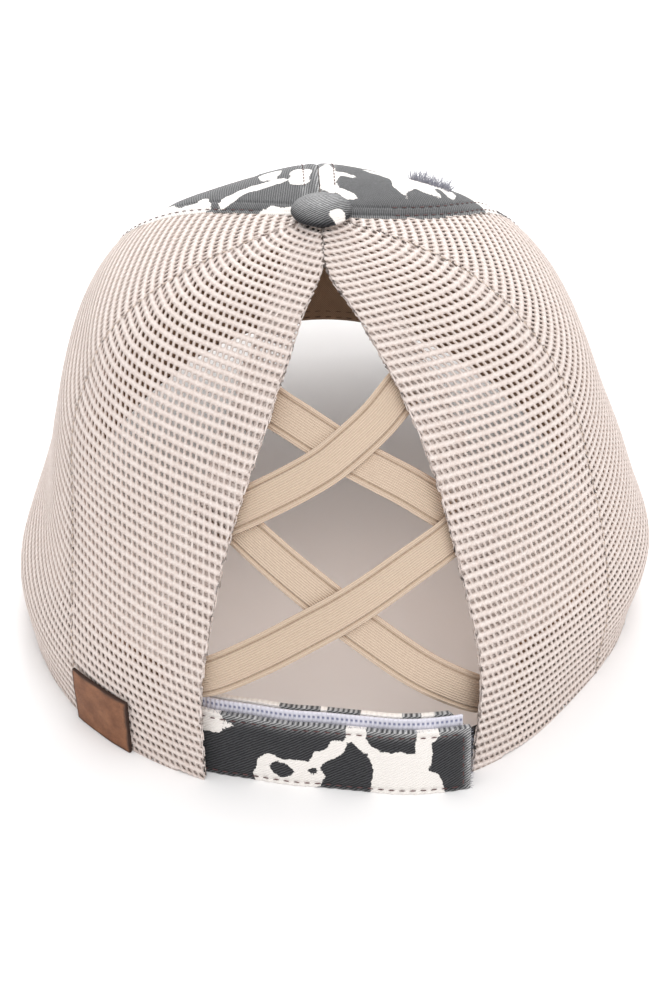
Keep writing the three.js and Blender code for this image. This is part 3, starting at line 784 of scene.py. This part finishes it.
# %% Net panels
def net_panel(name, edge_a, edge_b, middle, turn, depth, replaced=(), bands=None, seed=1, thread=THREAD):
    """Knits one panel, turned by some degrees, or only the bands along its edges."""
    top = top_row(middle)
    rows, run = arc_table(middle, top)
    low_edge, high_edge = (edge_a, edge_b) if middle > 0 else (edge_b, edge_a)
    slant = math.radians(-turn if middle > 0 else turn)

    def across_range(row):
        per_mm = degrees_per_mm(middle, row)
        a, b = EDGES[low_edge](row), EDGES[high_edge](row)
        return (a - middle) / per_mm, (b - middle) / per_mm

    wide = across_range(np.linspace(0, top, 60))
    corners = [(u, v) for u in (wide[0].min(), wide[1].max()) for v in (0, run[-1])]
    s, c = math.sin(slant), math.cos(slant)
    turned = [(u * c + v * s, v * c - u * s) for u, v in corners]
    net = brick_grid(np.min(turned, 0) - 2, np.max(turned, 0) + 2, seed, 0.92 if bands else 1.0)
    middles = np.array([f.calc_center_median()[:2] for f in net.faces])
    u = middles[:, 0] * c - middles[:, 1] * s
    v = middles[:, 0] * s + middles[:, 1] * c
    low, high = across_range(np.interp(v, run, rows))
    held = (u > low - 0.4) & (u < high + 0.4) & (v > -0.6) & (v < run[-1])
    if bands:
        held &= (u < low + bands[0]) | (u > high - bands[1]) | (v < bands[2])
    bmesh.ops.delete(net, geom=[f for f, k in zip(list(net.faces), held) if not k], context="FACES")
    open_holes(net, thread)
    bmesh.ops.rotate(net, verts=net.verts, cent=(0, 0, 0), matrix=Matrix.Rotation(slant, 3, "Z"))

    def place(u, v):
        v = np.clip(v, 0, run[-1])
        row = np.interp(v, run, rows)
        low, high = across_range(row)
        angle = middle + np.clip(u, low, high) * degrees_per_mm(middle, row)
        return inside(angle, row, depth), (u / 10, v / 10), {}

    piece = lay(name, net, place)
    round_threads(piece, 0.13)
    thicken(piece, 0.42)
    finish_piece(piece, knit, replaced)
    if replaced:
        width, length, area = panel_cut(edge_a, edge_b, middle)
    return piece


SIDE_BANDS = (5, 5, 5)
nets = [
    net_panel("side_net_left", "front_left", "side_left", 88, 11, 0.12, ["side_mesh_left"], seed=2),
    net_panel("side_net_right", "front_right", "side_right", -88, 9, 0.12, ["side_mesh_right"], seed=3),
    net_panel("rear_net_left", "side_left", "opening_left", 140, 7, 0.12, ["rear_mesh_left"], seed=4),
    net_panel("rear_net_right", "side_right", "opening_right", -140, -3, 0.12, ["rear_mesh_right"], seed=5),
    net_panel("hem_left", "side_left", "opening_left", 140, 4, 0.85, (), (5, HEM_WIDTH, 5), 6, 0.95),
    net_panel("hem_right", "side_right", "opening_right", -140, 2, 0.85, (), (HEM_WIDTH, 5, 5), 7, 0.95),
    net_panel("side_hem_left", "front_left", "side_left", 88, 8, 0.85, (), SIDE_BANDS, 8, 0.95),
    net_panel("side_hem_right", "front_right", "side_right", -88, 6, 0.85, (), SIDE_BANDS, 9, 0.95),
]
print("net faces", [len(p.data.polygons) for p in nets])

# %% [markdown]
# Straps are cut as long flat strips. A path says where the middle of a strip runs: the angle
# round the crown, the row, and how deep inside the surface. The strip's width is laid along
# the surface, square to the path, so it hugs the crown as stretched elastic does.


# %% Laying strips
def nearest(target, angle, row, depth):
    """The angles and rows, at a depth, that come nearest to some target points."""
    step = 0.05
    for _ in range(4):
        point = inside(angle, row, depth)
        round_it = (inside(angle + step, row, depth) - point) / step
        rise = (inside(angle, row + step, depth) - point) / step
        miss = target - point
        rr, ru, uu = ((a * b).sum(-1) for a, b in ((round_it, round_it), (round_it, rise), (rise, rise)))
        mr, mu = (miss * round_it).sum(-1), (miss * rise).sum(-1)
        spread = rr * uu - ru**2
        angle, row = angle + (mr * uu - mu * ru) / spread, row + (mu * rr - mr * ru) / spread
    return angle, row


def place_strip(path, width):
    """Places shares along (0 to 1) and across (0 to 1) on a strip along a path."""
    path = np.asarray(path, float)
    last = 2 * path[-1] - path[-2]
    fine = np.linspace(0, len(path) - 1, 400)
    line = np.stack([through(list(path[:, k]), fine, last[k]) for k in range(3)], -1)
    middle = inside(*line.T)
    run = np.concatenate([[0], np.cumsum(np.linalg.norm(np.diff(middle, axis=0), axis=1))])

    def place(along, across):
        at = np.interp(along * run[-1], run, fine)
        angle, row, depth = (through(list(path[:, k]), at, last[k]) for k in range(3))
        ahead = [through(list(path[:, k]), np.clip(at + 0.05, 0, fine[-1]), last[k]) for k in range(3)]
        behind = [through(list(path[:, k]), np.clip(at - 0.05, 0, fine[-1]), last[k]) for k in range(3)]
        way = inside(*ahead) - inside(*behind)
        normal = outward(angle, row)
        side = np.cross(normal, way)
        side /= np.linalg.norm(side, axis=-1, keepdims=True)
        target = inside(angle, row, depth) + side * ((across - 0.5) * width)[:, None]
        a, r = nearest(target, angle, row, depth)
        return inside(a, r, depth), outward(a, r), along * run[-1], (across - 0.5) * width

    return place, run[-1]


# %% [markdown]
# The four elastics are ribbed straps 11 mm wide, with a groove a little way in from each edge
# where the edge cord was knitted in. They cross in two pairs: in each pair one strap
# lies just under the mesh and the other one strap's thickness deeper.


# %% Elastics
ELASTIC_WIDTH, ELASTIC_THICKNESS = 11.0, 1.2
FAR = NEAR + ELASTIC_THICKNESS + GAP
DEEP = NEAR + 1.6 + 3 * GAP
ELASTIC_PATHS = {
    "elastic_upper_a": [
        (153.5, 3.93, FAR), (162, 3.78, FAR), (171, 3.63, FAR), (180, 3.43, FAR),
        (189, 3.17, FAR), (198, 2.86, FAR), (206.5, 2.49, FAR), (213, 2.22, FAR),
    ],
    "elastic_upper_b": [
        (151.8, 2.42, NEAR), (158.5, 2.62, NEAR), (167.3, 2.89, NEAR), (176, 3.14, NEAR),
        (185, 3.39, NEAR), (194, 3.62, NEAR), (201, 3.81, NEAR), (209, 4.0, NEAR),
    ],
    "elastic_lower_a": [
        (151, 2.62, FAR), (157.5, 2.45, FAR), (167.4, 2.18, FAR), (177.3, 1.88, FAR),
        (187.2, 1.53, FAR), (197, 1.13, (FAR + DEEP) / 2), (206.5, 0.74, DEEP), (212, 0.56, DEEP),
    ],
    "elastic_lower_b": [
        (148.5, 0.96, NEAR), (154.5, 1.06, NEAR), (164.8, 1.36, NEAR), (175, 1.64, NEAR),
        (185.4, 1.87, NEAR), (195.7, 2.07, NEAR), (206, 2.22, NEAR), (212.5, 2.33, NEAR),
    ],
}


def elastic_strap(node, path):
    """One elastic, its edges rounded and its two grooves pressed in."""
    layout, length = place_strip(path, ELASTIC_WIDTH - 0.2)

    def place(along, across):
        points, normal, run, off = layout(along, across)
        from_edge = ELASTIC_WIDTH / 2 - np.abs(off)
        # The groove mark also tells the finish where to paint shade.
        groove = np.exp(-((from_edge - 1.55) / 0.22) ** 2)
        round_over = np.clip(1 - from_edge / 0.6, 0, 1) ** 2 * 0.4
        cord = 0.12 * np.exp(-((from_edge - 0.8) / 0.45) ** 2)
        points = points - normal * (0.28 * groove + round_over - cord + 0.1)[:, None]
        return points, (run / 10, off / 10), {"groove": groove}

    piece = lay(node + "_cloth", flat_cloth(110, 44), place)
    thicken(piece, ELASTIC_THICKNESS - 0.35)
    finish_piece(piece, elastic, [node])
    return piece, length


for node, path in ELASTIC_PATHS.items():
    piece, length = elastic_strap(node, path)
    print(piece.name, "flat length", round(length, 1), "mm")

# %% [markdown]
# The closure is a strap of the same printed twill that closes over a white tape and an
# inner strap. They stand on edge behind the opening, so they are laid along the rim and
# straight up. The outer strap's print is charted in millimetres from its left end and
# its lower edge.


# %% The closure's path
# Angle round the crown, then the depth behind the hem as a share of HALF_WIDTH.
CLOSURE_PATH = np.array([
    [148.5, 0.004], [155, 0.008], [163, 0.022], [171, 0.018], [177, 0.013],
    [184, -0.012], [191, -0.053], [197, -0.081], [202, -0.102],
])
TAPE_DEPTH, INNER_DEPTH, TURN_FROM, TURN_OVER = 2.3, 3.4, 199.5, 4.5
OUTER_HEIGHT, TAPE_HEIGHT, INNER_HEIGHT, INNER_END_HEIGHT = 20.5, 20.2, 21.5, 9.0
CLOSURE_PATCHES = [
    (9.0, 18.2, 6.8, 3.6, -8, 1), (27.0, 3.2, 5.4, 6.6, 0, 1), (33.4, 3.6, 7.4, 5.6, 0, 1),
    (42.8, 12.6, 8.8, 2.1, 43, 1), (49.3, 19.6, 3.0, 3.8, 0, 1), (53.0, 14.4, 5.2, 1.9, -52, 1),
    (61.2, 5.0, 7.6, 9.0, 0, 1), (57.4, 9.4, 3.8, 4.4, 0, 1), (64.6, 9.4, 4.0, 4.6, 0, 1),
    (57.4, 1.5, 4.6, 6.0, 0, 1), (66.5, 1.0, 6.4, 6.0, 0, 1),
    (67.3, 14.5, 2.5, 6.8, 0, 1), (68.3, 19.2, 3.4, 2.8, 0, 1),
    (29.0, 5.4, 4.0, 2.2, -8, -1), (37.6, 5.8, 1.8, 1.1, 0, -1),
]


def closure_depth(angle):
    """How far inside the crown the outer strap stands."""
    return NEAR + HALF_WIDTH * smooth(CLOSURE_PATH, 1, angle)


def inner_depth(angle):
    """The inner strap runs behind the tape, then turns in under the right hem."""
    turn = np.clip((angle - TURN_FROM) / TURN_OVER, 0, 1)
    share = turn * turn * (3 - 2 * turn)
    behind = closure_depth(np.minimum(angle, TURN_FROM)) + INNER_DEPTH
    return behind + (NEAR + GAP - behind) * share


def inner_height(angle):
    """The inner strap narrows towards its sewn end."""
    turn = np.clip((angle - TURN_FROM) / TURN_OVER, 0, 1)
    return INNER_HEIGHT - (INNER_HEIGHT - INNER_END_HEIGHT) * turn * turn * (3 - 2 * turn)


def level(height):
    """The same height all along a rail."""
    return lambda angle: height + 0 * angle


def place_rail(first, last, depth_at, shift, low, height_at):
    """Places shares along and up on a band that stands on the rim."""
    angles = np.linspace(first, last, 161)
    foot = inside(angles, 0.0, depth_at(angles))
    run = np.gradient(foot, axis=0)
    away = np.stack([run[:, 1], -run[:, 0], np.zeros(len(run))], -1)
    away /= np.linalg.norm(away, axis=-1, keepdims=True)
    away *= np.sign((away * foot).sum(-1))[:, None]
    line = foot - away * shift
    length = np.concatenate([[0], np.cumsum(np.linalg.norm(np.diff(line, axis=0), axis=1))])

    def place(along, up):
        at = along * length[-1]
        point = np.stack([np.interp(at, length, line[:, k]) for k in range(3)], -1)
        normal = np.stack([np.interp(at, length, away[:, k]) for k in range(3)], -1)
        height = np.interp(at, length, height_at(angles))
        point[:, 2] = low + up * height
        return point, normal, at, up * height

    return place, length[-1]


# %% Outer and inner strap
def closure_strap(name, node, rail, height, thickness, patches, seed):
    """One printed strap on a rail, worn pale along its top and its end."""
    layout, length = rail

    def place(along, up):
        points, normal, run, rise = layout(along, up)
        value = chart(run, rise, patches, 0.55, 4, seed)
        top, end = height - rise, length - run
        wear = 0.05 + 0.9 * np.exp(-((top / 1.9) ** 2)) + np.exp(-((end / 1.5) ** 2))
        wear = wear + 0.5 * np.exp(-((rise / 0.5) ** 2))
        press = 0.25 * np.exp(-(((rise - 1.5) / 0.6) ** 2)) + 0.2 * np.exp(-(((top - 1.6) / 0.7) ** 2))
        wave = 0.10 * np.sin(run * 1.9) * np.exp(-((rise / 4) ** 2))
        points = points - normal * (press + wave + 0.12)[:, None]
        return points, (run / 10, rise / 10), {"print": value, "wear": np.clip(wear, 0, 1)}

    piece = lay(name, flat_cloth(170, 44), place)
    thicken(piece, thickness, 0.35)
    finish_piece(piece, twill, [node])
    return length


INNER_PATCHES = [
    (12, 20, 12, 5, 0, 1), (34.8, 21, 0.7, 3, 0, 1), (50, 20, 6, 5, 0, 1), (62, 21, 1.9, 3, 0, 1),
]
outer_rail = place_rail(148.5, 202, closure_depth, 0, 0, level(OUTER_HEIGHT))
inner_rail = place_rail(151.5, 211.5, inner_depth, 0, 2, inner_height)
outer_length = closure_strap(
    "outer_strap_cloth", "closure_strap_outer", outer_rail, OUTER_HEIGHT, 1.7, CLOSURE_PATCHES, 2,
)
inner_length = closure_strap(
    "inner_strap_cloth", "closure_strap_inner", inner_rail, INNER_HEIGHT, 1.35, INNER_PATCHES, 5,
)
print("closure straps", round(outer_length, 1), round(inner_length, 1), "mm long")


# %% [markdown]
# The tape is sewn between the two straps and stands a little above the outer one, so only
# its upper edge shows. That edge is pressed in where its row of loops leaves gaps.


# %% Tape
LOOP_ROW = 1.5


def tape():
    """The white tape, with its row of loops marked."""
    layout, length = place_rail(153, 201, closure_depth, TAPE_DEPTH, 3, level(TAPE_HEIGHT))

    def place(along, up):
        points, normal, run, rise = layout(along, up)
        below_top = TAPE_HEIGHT - rise
        dots = np.exp(-(((below_top - LOOP_ROW) / 0.40) ** 2))
        points = points - normal * (0.15 * np.exp(-(((below_top - LOOP_ROW) / 0.6) ** 2)))[:, None]
        return points, (run / 10, rise / 10), {"dots": dots}

    piece = lay("tape_cloth", flat_cloth(140, 60), place)
    thicken(piece, 0.7, 0.2)
    finish_piece(piece, tape_cloth, ["closure_tape"])
    return length


print("tape", round(tape(), 1), "mm long")

# %% [markdown]
# The sweatband is a flat strip sewn inside the rim. It follows the inside of the front
# panels and stops where the hems of the opening begin.


# %% Sweatband
BAND_HEIGHT, BAND_DEPTH, BAND_THICKNESS, BAND_END = 32.0, 2.0 + 1.3 * GAP, 1.5, 1.17 * HEM_WIDTH


def row_above(angle, height):
    """The row whose point lies a height above the rim."""
    angle = np.asarray(angle, float)
    low, high = np.zeros_like(angle), np.full_like(angle, 6.0)
    foot = crown(angle, 0.0)[..., 2]
    for _ in range(30):
        middle = (low + high) / 2
        over = crown(angle, middle)[..., 2] > foot + height
        low, high = np.where(over, low, middle), np.where(over, middle, high)
    return (low + high) / 2


def band_layout(share, up, depth):
    """Places shares round (-1 to 1) and up on the sweatband, at a depth."""
    end = np.where(share > 0, 180 - opening_angle(1, 0.0), 180 - opening_angle(2, 0.0))
    top = row_above(share * end, BAND_HEIGHT)
    row = up * top
    edge = np.where(share > 0, 180 - opening_angle(1, row), 180 - opening_angle(2, row))
    last = edge - BAND_END * degrees_per_mm(edge, row)
    angle = share * last
    return inside(angle, row, depth), angle, row


def sweatband():
    """The band, and its length along its middle line."""
    def place(around, up):
        share = 2 * around - 1
        points, angle, row = band_layout(share, up, BAND_DEPTH)
        return points, (share * 26, up * 3.2), {}

    piece = lay("band_strip", flat_cloth(260, 16), place)
    thicken(piece, BAND_THICKNESS, 0.3)
    finish_piece(piece, band_cloth, ["sweatband"])
    middle_line = band_layout(np.linspace(-1, 1, 300), np.full(300, 0.5), BAND_DEPTH)[0]
    length = np.linalg.norm(np.diff(middle_line, axis=0), axis=1).sum()
    return length


print("sweatband", round(sweatband(), 1), "mm round")

# %% [markdown]
# The brim is a cloth cover over a stiff board: an arched crescent that meets the
# front of the rim. Its edge is rounded by a bevel, and six rows of stitches, given as shares
# of the way out, are pressed into its cover.


# %% Brim
BRIM_REACH, EAR_LIP, BRIM_THICKNESS, COVER_MM = 0.8 * HALF_WIDTH, 4.0, 3.0, 62
# COVER_MM is how far the cover runs out, and turns a share out into millimetres.
BRIM_ROWS = [0.95, 0.84, 0.73, 0.62, 0.51, 0.40]


def brim_plan(across, out):
    """Plan position for a share across (-1 to 1) and a share out from the crown."""
    depth, reach, turn = 1.5, HALF_LENGTH + BRIM_REACH - EAR_LINE, np.radians(across * 90)
    share = BRIM_HALF / (HALF_WIDTH - depth) * np.sin(turn)
    inner = np.stack([(HALF_WIDTH - depth) * share, -(HALF_LENGTH - depth) * np.sqrt(1 - share**2)], -1)
    outer = np.stack([
        BRIM_HALF * np.sign(across) * np.abs(np.sin(turn)) ** 0.9,
        -EAR_LINE - EAR_LIP - (reach - EAR_LIP) * np.abs(np.cos(turn)) ** 0.85,
    ], -1)
    return inner + (outer - inner) * out[:, None]


def brim_point(across, out, raise_by=0.0):
    """Points on top of the brim, or a little above or below it."""
    plan = brim_plan(across, out)
    height = arch_height(plan[:, 0], plan[:, 1]) - GAP + raise_by
    return np.concatenate([plan, height[:, None]], -1)


def brim():
    """The brim's cover."""
    def place(share, out):
        across = 2 * share - 1
        points = brim_point(across, out)
        for line in BRIM_ROWS:
            points[:, 2] -= 0.15 * np.exp(-(((out - line) * COVER_MM / 0.6) ** 2))
        value = cow_field(points[:, 0], points[:, 1], 11.0)
        wear = np.exp(-(((1 - out) * COVER_MM / 1.5) ** 2))
        return points, (points[:, 0] / 10, points[:, 1] / 10), {"print": value, "wear": wear}

    piece = lay("brim_cover", flat_cloth(180, 90), place)
    thicken(piece, BRIM_THICKNESS, 0.9)
    return finish_piece(piece, twill, ["brim"])


brim_cover = brim()
print("brim", brim_cover.dimensions * 1000)

# %% [markdown]
# The button is a disc covered with a round of the twill and pulled down on a shank. Its
# profile is turned round the upright axis.


# %% Button
BUTTON_RADIUS, BUTTON_HEIGHT, SHANK_RADIUS, TUCK = 8.2, 4.8, 4.4, 0.2


def button():
    """The covered button; one white patch lies at its edge."""
    base = CROWN_HEIGHT + GAP
    swing = np.linspace(-TUCK, np.pi / 2, 20)
    profile = [(0.0, base - 3), (SHANK_RADIUS, base - 3), (SHANK_RADIUS, base)]
    for a in swing:
        profile.append((BUTTON_RADIUS * math.cos(a), base + BUTTON_HEIGHT * (0.36 + 0.64 * math.sin(a))))
    profile = np.array(profile)
    share_of_row = np.linspace(0, 1, len(profile))

    def place(around, rise):
        turn = around * 2 * np.pi
        radius, height = (np.interp(rise, share_of_row, profile[:, k]) for k in (0, 1))
        x, y = radius * np.sin(turn), radius * np.cos(turn)
        rumple = 0.10 * np.sin(9 * turn) * np.clip(1 - (height - base) / 4, 0, 1) * (height > base)
        points = np.stack([x * (1 + rumple / 8), y * (1 + rumple / 8), height], -1)
        value = chart(x, y - 0.5 * (height - base), [(-4.2, 4.0, 2.0, 2.8, 10, 1)], 0.2, 3, 8)
        wear = np.clip((height - base - 1.9) / 3.4, 0, 1)
        return points, (x / 10, (y - 0.8 * (height - base)) / 10), {"print": value, "wear": wear}

    piece = lay("button_cover", flat_cloth(72, len(profile) - 1), place, weld=True)
    return finish_piece(piece, twill, ["button"])


button_cover = button()
print("button", button_cover.dimensions * 1000)

# %% [markdown]
# The tag is a small square of leather sewn flat on the net at the rim. It is laid like the
# cloth, but on the outside, and its two upright sides curl up a little.

# %% Leather tag
TAG_SIDES, TAG_HEIGHT, TAG_THICKNESS, TAG_WIDE, TAG_HIGH = (126.5, 140), 17.0, 1.0, 20, 18


def tag():
    """The tag, bare on its face, with its burnt border marked."""
    def place(across, up):
        angle = TAG_SIDES[0] + (TAG_SIDES[1] - TAG_SIDES[0]) * across
        top = row_above(angle, TAG_HEIGHT)
        points = inside(angle, up * top, -GAP - TAG_THICKNESS + 0.1)
        wide, high = across * TAG_WIDE, up * TAG_HIGH
        from_side = np.minimum(wide, TAG_WIDE - wide)
        edge = np.minimum(from_side, np.minimum(high, TAG_HIGH - high))
        lift = 0.35 * np.exp(-((from_side / 2.5) ** 2)) + 0.2 * np.sin(wide * 0.55)
        points = points + outward(angle, up * top) * (0.3 * lift)[:, None]
        uneven = np.array([noise.noise((a / 3, b / 3, 1)) for a, b in zip(wide, high)])
        dark = np.clip(1.25 - edge / (0.8 + 0.5 * uneven), 0, 1)
        return points, (wide / 10, high / 10), {"edge": dark}

    piece = lay("tag_skin", flat_cloth(60, 52), place)
    thicken(piece, TAG_THICKNESS, 0.3)
    finish_piece(piece, leather, ["leather_tag"])
    return piece


print("tag", tag().dimensions * 1000)

# %% [markdown]
# Stitches are small: each one is a stretched ball laid along its row. A row is a line of
# points and outward directions; the stitches follow it a fixed step apart.


# %% Sewing
def sew(name, rows, material, long, gap, thick):
    """Joined stitches along rows of (points, normals) in millimetres."""
    dice = random.Random(1)
    threads = bmesh.new()
    for points, normals in rows:
        run = np.concatenate([[0], np.cumsum(np.linalg.norm(np.diff(points, axis=0), axis=1))])
        at = gap
        while at + long < run[-1]:
            middle = at + long / 2
            spot = np.array([np.interp(middle, run, points[:, k]) for k in range(3)])
            up = Vector([np.interp(middle, run, normals[:, k]) for k in range(3)]).normalized()
            start = np.array([np.interp(at, run, points[:, k]) for k in range(3)])
            end = np.array([np.interp(at + long, run, points[:, k]) for k in range(3)])
            way = Vector(end - start).normalized()
            side = up.cross(way).normalized()
            spot = Vector(metres(spot)) + up * (dice.uniform(0.0, 0.08) / 1000)
            size = (long * dice.uniform(0.46, 0.54) / 1000, thick / 2000, thick / 2600)
            axes = (way + side * dice.uniform(-0.08, 0.08)).normalized(), side, up
            frame_rows = [[axes[c][r] * size[c] for c in range(3)] + [spot[r]] for r in range(3)]
            stitch_frame = Matrix(frame_rows + [[0, 0, 0, 1]])
            bmesh.ops.create_icosphere(threads, subdivisions=1, radius=1, matrix=stitch_frame)
            at += long + gap
    mesh = bpy.data.meshes.new(name)
    threads.to_mesh(mesh)
    threads.free()
    piece = bpy.data.objects.new(name, mesh)
    return finish_piece(piece, material)


def line_on_crown(angle, row, depth):
    """A row for sewing, from angles and rows on the crown."""
    angle, row = np.broadcast_arrays(np.asarray(angle, float), np.asarray(row, float))
    return inside(angle, row, depth), outward(angle, row)


# %% [markdown]
# The front panels are topstitched beside the centre seam and beside the side seams, where
# the right one shows two rows. The nets are joined by a pale thread, and the band by a brown
# one.

# %% Panel and band stitches
rows = np.linspace(0.05, 5.45, 220)
front_rows, net_rows = [], []
for sign, column, rear in ((1, 1, 3), (-1, 2, 4)):
    beside_centre = sign * CENTRE_STITCHES * degrees_per_mm(sign * 4, rows)
    front_rows.append(line_on_crown(beside_centre, rows, 0.05))
    for off in SIDE_STITCHES[:1] if sign > 0 else SIDE_STITCHES:
        edge = smooth(SEAMS, column, rows)
        beside_seam = sign * (edge - off * degrees_per_mm(sign * edge, rows))
        front_rows.append(line_on_crown(beside_seam, rows, 0.05))
    net_rows.append(line_on_crown(sign * smooth(SEAMS, rear, rows), rows, 0.15))
sew("panel_topstitch", front_rows, thread_dark, 1.9, 1.0, 0.40)
sew("net_seams", net_rows, thread_sand, 1.5, 0.5, 0.42)
around = np.linspace(-0.98, 0.98, 700)
band_rows = []
for up in (0.05, 0.12, 0.80):
    points, angle, row = band_layout(around, np.full(700, up), BAND_DEPTH + BAND_THICKNESS)
    band_rows.append((points, -outward(angle, row)))
sew("band_stitches", band_rows, thread_brown, 2.2, 1.0, 0.45)
print("rows on the panels", len(front_rows), "nets", len(net_rows), "band", len(band_rows))

# %% Brim and strap stitches
across = np.linspace(-0.96, 0.96, 500)
straight_up = np.tile([0.0, 0, 1], (500, 1))
brim_rows = [(brim_point(across, np.full(500, line), -0.1), straight_up) for line in BRIM_ROWS]
sew("brim_stitches", brim_rows, thread_dark, 2.4, 1.1, 0.42)
outer_place, outer_run = outer_rail
strap_rows = []
for up in (1.5 / OUTER_HEIGHT, 1 - 1.6 / OUTER_HEIGHT):
    points, normal, run, rise = outer_place(np.linspace(0.01, 0.965, 400), np.full(400, up))
    strap_rows.append((points, normal))
points, normal, run, rise = outer_place(np.full(60, 1 - 2.2 / outer_run), np.linspace(0.05, 0.95, 60))
strap_rows.append((points, normal))
sew("strap_stitches", strap_rows, thread_dark, 1.9, 0.9, 0.40)
print("rows on the brim", len(brim_rows), "strap", len(strap_rows))

# %% [markdown]
# The cloth has been rubbed until its threads stand out: a tuft on the right front panel, and
# a short fringe along the top and the end of the strap. Each fibre is a thin tapered rod with
# its own direction and length, drawn from a seeded random source so that every run is alike.


# %% Loose fibres
def hairs(name, spots, material, thick):
    """Loose fibres: each is a thin tapered rod from (place, direction, length) in millimetres."""
    bunch = bmesh.new()
    for place, way, length in spots:
        way = Vector(way).normalized()
        turn = way.to_track_quat("Z", "Y").to_matrix().to_4x4()
        middle = Vector(metres(place)) + way * (length / 2000)
        bmesh.ops.create_cone(
            bunch, segments=4, radius1=thick / 2000, radius2=thick / 6000, depth=length / 1000,
            matrix=Matrix.Translation(middle) @ turn, cap_ends=True,
        )
    mesh = bpy.data.meshes.new(name)
    bunch.to_mesh(mesh)
    bunch.free()
    return finish_piece(bpy.data.objects.new(name, mesh), material)


dice = random.Random(12)
row_table, run_table = arc_table(-FRONT_MIDDLE, 5.6)
tuft = []
for _ in range(420):
    flat_x, along = -dice.uniform(27.5, 38.5), dice.uniform(98, 106)
    row = float(np.interp(along, run_table, row_table))
    angle = float(flat_x * degrees_per_mm(-FRONT_MIDDLE, row))
    normal = outward(angle, row)
    way = normal + np.array([dice.gauss(0, 0.7), dice.gauss(0, 0.5), dice.gauss(0.1, 0.5)])
    tuft.append((inside(angle, row, 0.2), way, dice.uniform(1.2, 4.2)))
hairs("frayed_tuft", tuft, thread_frayed, 0.17)

fray = []
for _ in range(260):
    along, up = (dice.uniform(0.0, 1.0), 1.0) if dice.random() < 0.65 else (1.0, dice.uniform(0, 1))
    points, normal, run, rise = outer_place(np.array([along]), np.array([up]))
    if up == 1.0:
        way = np.array([dice.gauss(0, 0.35), dice.gauss(0, 0.35), dice.gauss(0.9, 0.3)])
    else:
        way = np.array([-0.8, dice.gauss(0, 0.4), dice.gauss(0, 0.4)])
    fray.append((points[0] - normal[0] * dice.uniform(0.2, 1.4), way, dice.uniform(0.4, 1.3)))
hairs("strap_fray", fray, thread_frayed, 0.12)
print("loose fibres", len(tuft), "in the tuft", len(fray), "on the strap")
